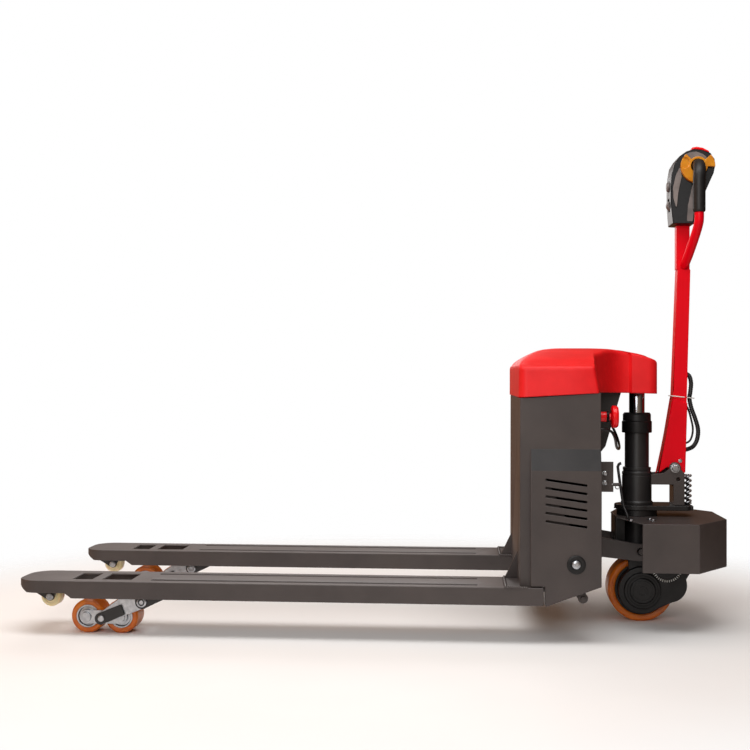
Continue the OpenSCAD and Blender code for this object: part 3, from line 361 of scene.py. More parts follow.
def turned_nylon():
    made, shader = material("turned_nylon", "#e4d6a6", 0.38, Subsurface_Weight=0.15, Subsurface_Scale=0.006)
    two_tone(made, shader, speckle(made, 18), "#dccb94", "#eee3bd")
    relief(made, shader, speckle(made, 3), 0.08, 0.5)
    return made


# %% [markdown]
# ## Tyres, grips and cables
# The tyres are cast polyurethane: amber orange, slightly waxy, and lighter where the tread has rubbed. The
# grips are soft rubber and the cables have a PVC jacket.

# %% Tyres, rubber and cable jacket
def cast_polyurethane():
    made, shader = material("cast_polyurethane", "#c4600c", 0.34, Subsurface_Weight=0.12, Subsurface_Scale=0.008)
    two_tone(made, shader, speckle(made, 35), "#b6540a", "#d2700f")
    uneven_gloss(made, shader, speckle(made, 12), 0.28, 0.45)
    relief(made, shader, speckle(made, 4), 0.12, 0.5)
    return made


def soft_rubber():
    made, shader = material("soft_rubber", "#111112", 0.46, Specular_IOR_Level=0.4)
    two_tone(made, shader, speckle(made, 20), "#0d0d0e", "#171718")
    relief(made, shader, speckle(made, 1.8), 0.15, 0.6)
    return made


def pvc_jacket():
    made, shader = material("pvc_jacket", "#111113", 0.36)
    two_tone(made, shader, speckle(made, 30), "#0d0d0f", "#19191b")
    relief(made, shader, speckle(made, 5), 0.08, 0.5)
    return made


GRAPHITE, BLACK, RED = graphite_powder_coat(), black_powder_coat(), red_gloss_enamel()
IRON, ZINC, CHROME = black_cast_iron(), zinc_plate(), hard_chrome()
HOOD, NYLON, TYRE = grained_red_shell(), turned_nylon(), cast_polyurethane()
RUBBER, PVC = soft_rubber(), pvc_jacket()
BUTTON = gloss_plastic("red_polycarbonate", "#ea000c", "#f80414", 0.24)
ABS = gloss_plastic("black_abs", "#060608", "#0d0d10", 0.3, shine=0.12)
AMBER = gloss_plastic("amber_nylon", "#c87a10", "#e29a22", 0.28)
GREY = matt_plastic("grey_abs", "#6a6462", "#7d7674")
CASE = matt_plastic("battery_case", "#23262b", "#2d3036")
WHITE = gloss_plastic("white_nylon", "#dcdcd8", "#f0f0ec", 0.35)
COATS = {"chassis_paint": GRAPHITE, "black_paint": BLACK, "cast_black": IRON, "zinc": ZINC, "chrome": CHROME,
         "hood_red": HOOD, "red_paint": RED, "red_button": BUTTON, "orange_pu": TYRE, "nylon": NYLON,
         "battery_case": CASE, "controller_alloy": IRON, "pump_metal": IRON, "cable_black": PVC,
         "grip_rubber": RUBBER, "head_plastic": ABS, "gold_plastic": AMBER, "grey_button": GREY}


FADE_FROM, FADE_TO = 0.95, 1.7


def pale_floor():
    """A matt white floor that fades into the white backdrop a little way round the truck."""
    made, shader = material("pale_floor", "#f7f7f6", 0.7, Specular_IOR_Level=0.2)
    two_tone(made, shader, speckle(made, 900), "#f5f5f4", "#f9f9f8")
    place = add(made, "ShaderNodeTexCoord")
    far = add(made, "ShaderNodeVectorMath", {0: place.outputs["Object"]}, operation="LENGTH")
    fade = add(made, "ShaderNodeMapRange", {"Value": far.outputs["Value"]},
               {"From Min": FADE_FROM, "From Max": FADE_TO}, interpolation_type="SMOOTHSTEP")
    clear = add(made, "ShaderNodeBsdfTransparent")
    choice = add(made, "ShaderNodeMixShader", {0: fade.outputs["Result"], 1: shader.outputs["BSDF"],
                                               2: clear.outputs["BSDF"]})
    made.node_tree.links.new(choice.outputs["Shader"], made.node_tree.nodes["Material Output"].inputs["Surface"])
    return made


floor.data.materials.append(pale_floor())
print("materials", len(bpy.data.materials))

# %% [markdown]
# ## Mesh helpers
# Most of the truck is made in three ways: plates cut to an outline, turned parts, and bars or hoses along a
# route. One helper finishes each mesh: it names the piece, gives it its material and makes it ride on the body
# of the node that it stands for.


# %% Finish a mesh as a piece
def piece(name, mesh, coat, node, smooth_angle=35, stands_for=True, slot=None):
    made = bpy.data.objects.new(name, mesh)
    bpy.context.scene.collection.objects.link(made)
    mesh.materials.append(coat)
    for face in mesh.polygons:
        face.use_smooth = True
    mesh.set_sharp_from_angle(angle=math.radians(smooth_angle))
    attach(made, body_of[node])
    if stands_for:
        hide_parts(node)
    return made


def bevelled(made, width_mm, segments=3, angle=30, harden=True):
    bevel = made.modifiers.new("edges", "BEVEL")
    bevel.width = width_mm * MM
    bevel.segments = segments
    bevel.limit_method = "ANGLE"
    bevel.angle_limit = math.radians(angle)
    bevel.use_clamp_overlap = False
    bevel.harden_normals = harden
    return made


def mesh_from(name, points, faces):
    mesh = bpy.data.meshes.new(name)
    mesh.from_pydata([tuple(p) for p in points], [], faces)
    work = bmesh.new()
    work.from_mesh(mesh)
    bmesh.ops.remove_doubles(work, verts=work.verts, dist=1e-6)
    bmesh.ops.recalc_face_normals(work, faces=work.faces)
    work.to_mesh(mesh)
    work.free()
    return mesh


# %% [markdown]
# ## Softened steel
# A bent or sawn steel edge is never sharp, and paint pulls back from it, so it catches a thin line of light.
# The plates already have the right shape, so each is copied, its triangles are joined into whole faces, and
# every edge gets a small bevel.


# %% Softened copies of the plates
def softened(node, width_mm, coat=None, segments=3, angle=32):
    work = bmesh.new()
    work.from_mesh(nodes[node].data)
    bmesh.ops.remove_doubles(work, verts=work.verts, dist=5e-6)
    bmesh.ops.dissolve_limit(work, angle_limit=math.radians(0.6), verts=work.verts, edges=work.edges)
    mesh = bpy.data.meshes.new(node + "_soft")
    work.to_mesh(mesh)
    work.free()
    made = piece(node + "_soft", mesh, coat or COATS[slot_of[node]], node)
    return bevelled(made, width_mm, segments, angle)


EDGES_MM = {"chassis_frame": 1.6, "head_beam": 1.5, "fork_left": 2.0, "fork_right": 2.0, "side_pod_left": 1.6,
            "side_pod_right": 1.6, "nose_brackets": 0.8, "link_ears": 1.0, "cable_bracket": 0.8,
            "push_rod_left": 1.0, "push_rod_right": 1.0, "rocker_frame": 1.2, "tiller_bracket": 1.2,
            "drive_yoke": 1.5, "gearbox": 2.5, "drive_cover": 2.0, "bearing_seat": 1.0,
            "steering_post": 1.6, "tiller_arm": 2.0, "handle_frame": 0.8, "battery": 3.0,
            "motor_controller": 1.0, "pump_unit": 2.0, "bogie_left": 0.9, "bogie_right": 0.9,
            "link_arm_left": 1.0, "link_arm_right": 1.0, "drive_motor": 3.0}
for node, width in EDGES_MM.items():
    softened(node, width)


def paint_shade_coat(name, coat, chosen):
    """Paint shade on a piece: the chosen faces get a second, dark coat where the surface only looks dark from how
    light falls.
    """
    mesh = bpy.data.objects[name].data
    mesh.materials.append(coat)
    for face in mesh.polygons:
        if chosen(face):
            face.material_index = 1


# Painted shade: the sloping shoulder of each side pod faces up and outwards and looks dark from what it mirrors, so
# those faces get the black coat although they are not a black part.
for side in SIDES:
    paint_shade_coat(f"side_pod_{side}_soft", BLACK, lambda face: face.normal.z > 0.15 and abs(face.normal.y) > 0.2)
# Painted shade: the front faces of the drive cover get the black coat to stand for the shadow inside the open cover.
paint_shade_coat("drive_cover_soft", BLACK, lambda face: face.center.x < axis_x - 0.05 and abs(face.normal.z) < 0.5)
for node, shown in nodes.items():
    shown.data.materials.clear()
    shown.data.materials.append(COATS[slot_of[node]])
print("softened", len(EDGES_MM), "plates")

# %% [markdown]
# ## Turned parts
# Tyres, hubs, bushes, bolts and the cylinder are all turned on a lathe, so they are drawn the same way: half a
# section, with its corners rounded, spun about an axis. The section is a list of radius and distance along the
# axis, in millimetres.


# %% Rounded outlines and turned parts
def rounded(outline, radius, steps=4):
    """The closed outline with each corner replaced by an arc of that radius, or less on short sides."""
    points = []
    for i, corner in enumerate(outline):
        here, before, after = Vector(corner), Vector(outline[i - 1]), Vector(outline[(i + 1) % len(outline)])
        back, ahead = before - here, after - here
        bend = back.angle(ahead, math.pi)
        if bend > math.radians(176):
            points.append(here)
            continue
        cut = min(radius / math.tan(bend / 2), back.length * 0.48, ahead.length * 0.48)
        start, end = here + back.normalized() * cut, here + ahead.normalized() * cut
        for k in range(steps + 1):
            t = k / steps
            points.append((1 - t) ** 2 * start + 2 * t * (1 - t) * here + t ** 2 * end)
    return points


def turned(name, section, at, along, coat, node, fillet=1.0, sides=64, **more):
    """A closed section of (radius, distance) in millimetres, spun about the line through at."""
    ring = rounded([Vector((max(r, 0.0), a)) for r, a in section], fillet)
    turn = Vector(along).to_track_quat("Z", "Y").to_matrix()
    points, faces = [], []
    for k in range(sides):
        angle = 2 * math.pi * k / sides
        for r, a in ring:
            points.append(Vector(at) + turn @ Vector((r * math.cos(angle), r * math.sin(angle), a)) * MM)
    n = len(ring)
    for k in range(sides):
        m = (k + 1) % sides
        faces += [(k * n + i, m * n + i, m * n + (i + 1) % n, k * n + (i + 1) % n) for i in range(n)]
    mesh = mesh_from(name, points, faces)
    return piece(name, mesh, coat, node, **more)


def plate(name, outline, low, high, coat, node, fillet=3.0, edge=0.8, **more):
    """An outline of (x, z) in metres, cut from a plate that runs from y low to y high."""
    ring = rounded([Vector(p) for p in outline], fillet * MM) if fillet else [Vector(p) for p in outline]
    n = len(ring)
    points = [(p.x, low, p.y) for p in ring] + [(p.x, high, p.y) for p in ring]
    faces = [tuple(range(n)), tuple(range(2 * n - 1, n - 1, -1))]
    faces += [(i, (i + 1) % n, n + (i + 1) % n, n + i) for i in range(n)]
    made = piece(name, mesh_from(name, points, faces), coat, node, **more)
    return bevelled(made, edge, 2, harden=False) if edge else made


def flow(points, steps=6):
    """Points on a smooth curve through the given ones."""
    route, count = [Vector(p) for p in points], len(points)
    made = []
    for i in range(count - 1):
        a, b, c, d = route[max(i - 1, 0)], route[i], route[i + 1], route[min(i + 2, count - 1)]
        for k in range(steps):
            t = k / steps
            made.append(0.5 * (2 * b + (c - a) * t + (2 * a - 5 * b + 4 * c - d) * t * t
                               + (3 * b - a - 3 * c + d) * t ** 3))
    return made + [route[-1]]


def hose(name, route, radius, coat, node, sides=20, closed_ends=True, **more):
    """A tube swept along a route. The radius, in metres, is one number or a function of the share of length."""
    wide = radius if callable(radius) else (lambda share: radius)
    across = (route[1] - route[0]).orthogonal().normalized()
    points, faces = [], []
    for i, here in enumerate(route):
        ahead = (route[min(i + 1, len(route) - 1)] - route[max(i - 1, 0)]).normalized()
        across = (across - across.dot(ahead) * ahead).normalized()
        other = ahead.cross(across)
        size = wide(i / (len(route) - 1))
        for k in range(sides):
            angle = 2 * math.pi * k / sides
            points.append(here + size * (math.cos(angle) * across + math.sin(angle) * other))
    for i in range(len(route) - 1):
        for k in range(sides):
            m = (k + 1) % sides
            faces.append((i * sides + k, i * sides + m, (i + 1) * sides + m, (i + 1) * sides + k))
    if closed_ends:
        last = (len(route) - 1) * sides
        faces += [tuple(range(sides - 1, -1, -1)), tuple(range(last, last + sides))]
    return piece(name, mesh_from(name, points, faces), coat, node, **more)


# %% [markdown]
# ## Load rollers and bogies
# Each fork stands on two rollers. A polyurethane tyre is cast round a zinc-plated hub with a ball bearing, and
# the tyre's edges are rounded so that it can climb over a board. The hub and tyre are separate pieces.

# %% Load rollers
TYRE_SECTION = [(28, -32), (37, -33), (41, -28), (41, 28), (37, 33), (28, 32)]
HUB_SECTION = [(8.05, -33), (15, -33), (16, -27), (22.5, -26), (24, -32), (28, -32), (28, 32), (24, 32),
               (22.5, 26), (16, 27), (15, 33), (8.05, 33)]
ACROSS = (0, 1, 0)
for side in SIDES:
    for end in ("front", "rear"):
        tyre, hub = f"load_tyre_{side}_{end}", f"load_hub_{side}_{end}"
        turned(tyre + "_cast", TYRE_SECTION, middle(tyre), ACROSS, TYRE, tyre, fillet=2.5, sides=96)
        turned(hub + "_turned", HUB_SECTION, middle(hub), ACROSS, ZINC, hub, fillet=0.8)

# %% [markdown]
# ## Link sleeves
# The lower half of each link arm is dipped in black paint, from the bogie pin up, and the upper half stays
# bright. The dipped part is drawn as a thin sleeve on both faces, with the pin's ring and domed head over it.

# %% Link sleeves and bogie pins
link_pivot, bogie_pin = middle("link_pins"), middle("bogie_left")
fork_centre = middle("fork_right").y
along_link = (Vector((link_pivot.x, link_pivot.z)) - Vector((bogie_pin.x, bogie_pin.z))).normalized()
across_link = Vector((-along_link.y, along_link.x))
PAINT_FILM = 0.001
SLEEVE_MM = [(-13, -9), (-16, 0), (-13, 9), (-6, 14), (58, 13.5), (58, -13.5), (-6, -14)]
for side, sign in SIDES.items():
    for end in (-1, 1):
        node = f"link_arm_{side}"
        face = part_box(node)[1 if end > 0 else 0].y
        outline = [Vector((bogie_pin.x, bogie_pin.z)) + (a * along_link + c * across_link) * MM
                   for a, c in SLEEVE_MM]
        coated = face + end * PAINT_FILM
        plate(f"link_sleeve_{side}_{end}", outline, min(face, coated), max(face, coated),
              BLACK, node, fillet=4, edge=0.4, stands_for=False, slot="black_paint")
        pin_at = (bogie_pin.x, coated, bogie_pin.z)
        turned(f"bogie_ring_{side}_{end}", [(8, 0), (11.5, 0), (11.5, 1.2), (8, 1.2)], pin_at, (0, end, 0), BLACK,
               node, fillet=0.5, sides=48, stands_for=False, slot="black_paint")
        turned(f"bogie_head_{side}_{end}", [(0, 0), (7.6, 0), (7.6, 1), (6, 2), (0, 2)], pin_at, (0, end, 0), ZINC,
               node, fillet=0.5, sides=48, stands_for=False, slot="zinc")

# %% [markdown]
# ## Entry rollers
# A small nylon roller at each tip rides up the pallet's bottom board first. It is turned from solid nylon,
# with a shallow groove round each face.

# %% Entry rollers
ENTRY_SECTION = [(6.05, -15), (10, -15), (11, -13.5), (17, -13.5), (18, -15), (23.5, -15), (26, -11),
                 (26, 11), (23.5, 15), (18, 15), (17, 13.5), (11, 13.5), (10, 15), (6.05, 15)]
for side in SIDES:
    node = f"entry_roller_{side}"
    turned(node + "_turned", ENTRY_SECTION, middle(node), ACROSS, NYLON, node, fillet=0.8, sides=72)

# %% [markdown]
# ## Drive wheel
# The drive wheel has a thick amber tyre on a black cast rim. The rim carries a raised ring and a deep web.

# %% Drive wheel
wheel_at = middle("wheel_tyre")
wheel_r = reach("wheel_tyre", 2) / 2 / MM
rim_r = wheel_r - 18
turned("wheel_tyre_cast", [(rim_r, -33), (79, -35), (wheel_r, -30), (wheel_r, 30), (79, 35), (rim_r, 33)],
       wheel_at, ACROSS, TYRE, "wheel_tyre", fillet=4, sides=128)
turned("wheel_hub_cast", [(12.05, -35), (32, -35), (36, -27), (rim_r - 10, -27), (rim_r - 6, -33), (rim_r, -33),
                          (rim_r, 33), (rim_r - 6, 33), (rim_r - 10, 27), (36, 27), (32, 35), (12.05, 35)],
       wheel_at, ACROSS, IRON, "wheel_hub", fillet=1.2, sides=96)

# %% [markdown]
# ## Lift cylinder, gland and piston rod
# The cylinder stands on the drive unit and lifts the whole chassis through the piston rod. It is a black tube
# with a wider foot and a stop ring, and a ribbed gland nut closes its top.

# %% Lift cylinder
cylinder_foot = Vector((axis_x, 0, base_top))
UP = (0, 0, 1)
turned("lift_cylinder_turned",
       [(20.05, 0), (41, 0), (41, 6), (38, 10), (38, 74), (37.2, 75), (37.2, 77), (38, 78), (38, 83), (34, 88),
        (36, 88), (36, 96), (31, 96), (31, 186), (20.05, 186)],
       cylinder_foot, UP, BLACK, "lift_cylinder", fillet=0.8, sides=96)
gland_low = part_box("gland_nut")[0].z
turned("gland_nut_turned",
       [(20.05, 0), (37.6, 0), (38.5, 1.5), (38.5, 29), (37, 30.5), (36, 31), (36, 47), (33, 52), (20.05, 52)],
       (axis_x, 0, gland_low), UP, IRON, "gland_nut", fillet=0.8, sides=96)
rod_low, rod_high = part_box("piston_rod")
rod_mm = (rod_high.z - rod_low.z) / MM
turned("piston_rod_ground", [(0, 0), (20, 0), (20, rod_mm), (0, rod_mm)],
       (axis_x, 0, rod_low.z), UP, CHROME, "piston_rod", fillet=0.5, sides=96)

# %% [markdown]
# ## Tiller spring
# A real coil spring of heavy wire pushes the tiller upright. A loop winds it: the wire follows a helix, and
# the last half turn at each end lies flat. It is wound over a black guide rod.

# %% Tiller spring
spring_low, spring_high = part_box("tiller_spring")
spring_x = (spring_low.x + spring_high.x) / 2
COILS, WIRE, COIL_R = 6.5, 0.0028, 0.0085
STEPS = 26


def coil_point(turns):
    share = min(max((turns - 0.5) / (COILS - 1), 0), 1)
    z = spring_low.z + WIRE + share * (spring_high.z - spring_low.z - 2 * WIRE)
    return Vector((spring_x + COIL_R * math.cos(2 * math.pi * turns), COIL_R * math.sin(2 * math.pi * turns), z))


turned("spring_guide", [(0, 0), (3.4, 0), (3.4, 74), (0, 74)], (spring_x, 0, spring_low.z), UP, IRON,
       "tiller_spring", fillet=0.5, sides=32, stands_for=False)
hose("tiller_spring_wound", [coil_point(i / STEPS) for i in range(int(COILS * STEPS) + 1)], WIRE, ZINC,
     "tiller_spring", sides=14, smooth_angle=60)

# %% [markdown]
# ## Hood
# The hood is one moulded shell over the battery. From above it is as wide as the chassis, then narrows in two
# hollow curves to a nose over the lift cylinder. Its top is a shallow dome. The shell is built in rings: each
# ring is the plan outline, drawn in towards the middle, and it rises from the edge's height to the crown.

# %% Hood outline and dome
hood_low, hood_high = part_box("hood")
HOOD_HALF = hood_high.y
HOOD_NOSE = 0.1
HOOD_WIDE_X = rear_x - 0.003
hood_tip = hood_high.x
HOOD_MIDDLE = Vector((heel_x + 0.13, 0))
CORNER_R = 0.024
CROWN_X, END_FALL, SIDE_FALL = heel_x + 0.17, 0.03, 0.048


def hood_half_outline():
    neck_x, corner = hood_tip - 0.072, 0.02
    front = [Vector((hood_low.x + corner * (1 - math.cos(a)), HOOD_HALF - corner * (1 - math.sin(a))))
             for a in (math.radians(15 * k) for k in range(7))]
    wide = [Vector((x, HOOD_HALF)) for x in (heel_x + 0.05, heel_x + 0.1, heel_x + 0.15)]
    rear = [Vector((HOOD_WIDE_X - 0.008 * (1 - math.sin(a)), HOOD_HALF - 0.008 * (1 - math.cos(a))))
            for a in (math.radians(30 * k) for k in range(4))]
    hollow = [Vector((HOOD_WIDE_X + (neck_x - HOOD_WIDE_X) * (1 - math.cos(a)),
                      HOOD_HALF - 0.008 - (HOOD_HALF - 0.008 - HOOD_NOSE + 0.007) * math.sin(a)))
              for a in (math.radians(7.5 * k) for k in range(1, 13))]
    step = [Vector((neck_x + 0.006, HOOD_NOSE))]
    tip = [Vector((hood_tip - CORNER_R * (1 - math.sin(a)), HOOD_NOSE - CORNER_R * (1 - math.cos(a))))
           for a in (math.radians(15 * k) for k in range(7))]
    return front + wide + rear + hollow + step + tip


def hood_height(p):
    """A shallow crown that falls to the sides and, less, to both ends, with soft corners between."""
    end = hood_low.x if p.x < CROWN_X else hood_high.x
    along = END_FALL * ((p.x - CROWN_X) / (end - CROWN_X)) ** 2.6
    across = SIDE_FALL * (abs(p.y) / HOOD_HALF) ** 2.4
    return hood_high.z - (along ** 4 + across ** 4) ** 0.25


def hood_rim(p):
    if p.x < heel_x:
        return deck_z - 0.013
    if p.x < rear_x:
        return deck_z - 0.013 * (rear_x - p.x) / (rear_x - heel_x)
    return deck_z - 0.004 * (p.x - rear_x) / (hood_tip - rear_x)


# %% Hood shell
def inset(p, distance):
    towards = HOOD_MIDDLE - p
    return p + towards.normalized() * distance


EDGE_R = 0.011
near = hood_half_outline()
plan = near + [Vector((p.x, -p.y)) for p in reversed(near)]
rings = []
for share in (0.0, 0.04, 0.5, 0.96, 1.0):
    ring = []
    for p in plan:
        low, top = hood_rim(p), hood_height(p) - EDGE_R
        lean = 0.010 * share if HOOD_WIDE_X - 0.01 < p.x < HOOD_WIDE_X + 0.02 and abs(p.y) > 0.2 else 0.0
        ring.append(Vector((p.x - lean, p.y, low + share * (top - low))))
    rings.append(ring)
for k in range(1, 6):
    angle = math.radians(18 * k)
    ring = []
    for p in plan:
        q = inset(p, EDGE_R * (1 - math.cos(angle)))
        lean = 0.010 if HOOD_WIDE_X - 0.01 < p.x < HOOD_WIDE_X + 0.02 and abs(p.y) > 0.2 else 0.0
        ring.append(Vector((q.x - lean, q.y, hood_height(p) - EDGE_R + EDGE_R * math.sin(angle))))
    rings.append(ring)
for share in (0.93, 0.85, 0.75, 0.62, 0.48, 0.34, 0.2, 0.08):
    ring = []
    for p in plan:
        q = HOOD_MIDDLE + (inset(p, EDGE_R) - HOOD_MIDDLE) * share
        ring.append(Vector((q.x, q.y, hood_height(q))))
    rings.append(ring)
count = len(plan)
points = [p for ring in rings for p in ring]
faces = [(r * count + i, r * count + (i + 1) % count, (r + 1) * count + (i + 1) % count, (r + 1) * count + i)
         for r in range(len(rings) - 1) for i in range(count)]
faces.append(tuple(range((len(rings) - 1) * count, len(rings) * count)))
hood = piece("hood_shell", mesh_from("hood_shell", points, faces), HOOD, "hood", smooth_angle=40)
wall = hood.modifiers.new("wall", "SOLIDIFY")
wall.thickness = 0.004
wall.offset = -1
print("hood shell has", len(points), "points")

# %% [markdown]
# ## Tiller head
# The head is a black ABS shell, with grey inlays let into both cheeks: a crescent at the front, a strip at the
# rear and a cap under the red belly button. The lengths below are in millimetres from the steering axis and
# from the top of the shell.

# %% Tiller head and its inlays
head_low, head_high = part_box("head_shell")
head_top = head_low.z + 0.198
INLAYS = {"front_crescent": [(102, -48), (91, -74), (86, -104), (87, -132), (93, -162), (97, -118), (106, -76)],
          "rear_strip": [(133, -98), (142, -100), (140, -138), (134, -192), (119, -192), (122, -150)],
          "upper_cap": [(110, -22), (126, -15), (142, -13), (160, -20), (172, -31), (150, -42), (118, -38)]}


def head_point(x, z):
    return axis_x + x * MM, head_top + z * MM


BOW_FROM, BOW_LENGTH, BOW_NARROWER = axis_x + 0.094, 0.013, 0.34


def narrowed(made):
    """The shell gets narrower towards its front, like a boat's bow."""
    for point in made.data.vertices:
        share = min(max((BOW_FROM - point.co.x) / BOW_LENGTH, 0.0), 1.0)
        point.co.y *= 1 - BOW_NARROWER * share * share * (3 - 2 * share)
    return made


narrowed(softened("head_shell", 2.4, segments=3))
for side, sign in SIDES.items():
    face = sign * head_high.y
    for name, outline in INLAYS.items():
        narrowed(plate(f"{name}_{side}", [head_point(*p) for p in outline], min(face, face + sign * 0.0004),
                       max(face, face + sign * 0.0004), GREY, "head_shell", fillet=5, edge=0, stands_for=False,
                       slot="grey_button"))
for node, width in {"belly_button": 4.0, "horn_button": 2.0, "lift_rocker": 1.5, "throttle": 1.2}.items():
    softened(node, width)

# %% [markdown]
# ## Grips
# Each grip is a rubber sleeve that runs up from the red leg, turns inwards in a quarter circle and ends at the
# thumb wing. Its lower end is rounded off.

# %% Grips
GRIP_R = 0.0155
BEND = [math.radians(15 * k) for k in range(1, 7)]
GRIP_ROUTE = [(139, 110, -176), (139, 110, -150), (139, 110, -120), (139, 110, -96)]
GRIP_ROUTE += [(139 + 6 * k / 6, 110 - 40 * (1 - math.cos(a)), -92 + 40 * math.sin(a)) for k, a in enumerate(BEND, 1)]
GRIP_ROUTE += [(145, 51.6, -52)]


def sleeve_size(share):
    return GRIP_R * (0.88 + 0.12 * min(share / 0.02, 1.0))


def on_side(route, sign):
    return flow([(axis_x + x * MM, sign * y * MM, head_top + z * MM) for x, y, z in route], 5)


for side, sign in SIDES.items():
    hose(f"grip_sleeve_{side}", on_side(GRIP_ROUTE, sign), sleeve_size, RUBBER, "hand_grips", sides=32)

# %% [markdown]
# ## Tiller harness
# The cable of the head leaves the tiller's tube at the back, hangs in a loop and goes back in between the
# plates. Its outer jacket is a corrugated conduit with a ring every 4 mm. It is held at both ends and tied
# once, with a white strap round the tube.

# %% Harness, inner cable and tie
HARNESS = [(120, 642), (134, 634), (139, 615), (137, 590), (135, 575), (140, 550), (150, 522), (157, 495),
           (155, 470), (146, 452), (133, 444), (117, 440)]
CONDUIT_R, RING_MM = 0.0056, 4.0
conduit = flow([(axis_x + x * MM, 0, z * MM) for x, z in HARNESS], 24)
conduit_mm = sum((b - a).length for a, b in zip(conduit, conduit[1:])) / MM


def corrugated(share):
    return CONDUIT_R + 0.0005 * math.sin(2 * math.pi * share * conduit_mm / RING_MM)


hose("harness_conduit", conduit, corrugated, PVC, "tiller_harness", sides=18, smooth_angle=60)
INNER = [(124, 560), (132, 545), (139, 520), (143, 498), (141, 478), (134, 464), (122, 458)]
hose("inner_cable", flow([(axis_x + x * MM, -0.004, z * MM) for x, z in INNER], 8), 0.0026, PVC,
     "tiller_harness", sides=14, stands_for=False)
TIE = [(86, -20), (88, -22), (110, -21), (132, -12), (144, -4), (146, 4), (132, 12), (110, 21), (88, 22), (86, 20)]
tie_route = flow([(axis_x + x * MM, y * MM, (582 - 0.1 * (x - 86)) * MM) for x, y in TIE + TIE[:1]], 5)
hose("cable_tie", tie_route, 0.0014, WHITE, "tiller_harness", sides=10, stands_for=False)
print("harness conduit is", round(conduit_mm), "mm long")

# %% [markdown]
# ## Emergency stop
# A red collar with a black ring holds the mushroom, whose rim is fully rounded. Its lead leaves the bulkhead
# beside it, sags behind the lift cylinder and goes back up into the chassis.

# %% Emergency stop and its lead
stop_at = Vector((rear_x, middle("estop_base").y, middle("estop_base").z))
BACKWARDS = (1, 0, 0)
turned("estop_collar", [(0, 0), (15, 0), (15, 4), (12, 6), (12, 20), (8.1, 20), (8.1, 5), (0, 5)], stop_at,
       BACKWARDS, BUTTON, "estop_base", fillet=1.0)
turned("estop_ring", [(8.1, 20), (14.5, 20), (14.5, 26), (8.1, 26)], stop_at, BACKWARDS, ABS, "estop_base",
       fillet=1.0, stands_for=False)
turned("estop_mushroom", [(0, -18), (8, -18), (8, 0), (22, 0), (27, 3), (27, 12), (24, 16.5), (12, 18), (0, 18)],
       stop_at + Vector((0.031, 0, 0)), BACKWARDS, BUTTON, "estop_button", fillet=2.5, sides=80)
LEAD = [(0.4, -215, 502), (18, -215, 502), (36, -208, 497), (46, -184, 486), (55, -140, 472), (62, -95, 459),
        (68, -60, 450), (76, -20, 444), (84, 20, 443), (88, 52, 450), (86, 76, 468), (76, 88, 494), (58, 94, 520),
        (34, 96, 536), (16, 96, 540), (0.2, 96, 540)]
lead = flow([(rear_x + x * MM, y * MM, z * MM) for x, y, z in LEAD], 6)
hose("estop_lead_smooth", lead, 0.0034, PVC, "estop_lead", sides=14)
print("stop lead is", round(sum((b - a).length for a, b in zip(lead, lead[1:])) / MM), "mm long")

# %% [markdown]
# ## Bolts and pins
# Every bolt is a washer and a hex head with chamfered corners, and every pivot pin has a shouldered, domed
# head. The rocker's pivots show on the pods as a bright dome in a black ring.

# %% Bolts, pins and pivots
HEX = 6


def bolt(name, at, along, size, node, stands_for=False):
    turned(name + "_washer", [(0, 0), (size * 1.25, 0), (size * 1.25, 1.4), (0, 1.4)], at, along, ZINC, node,
           fillet=0.4, sides=40, stands_for=stands_for, slot="zinc")
    turned(name + "_head", [(0, 1.4), (size, 1.4), (size, size * 0.62), (size * 0.82, size * 0.75), (0, size * 0.75)],
           at, along, ZINC, node, fillet=0.3, sides=HEX, smooth_angle=20, stands_for=False, slot="zinc")


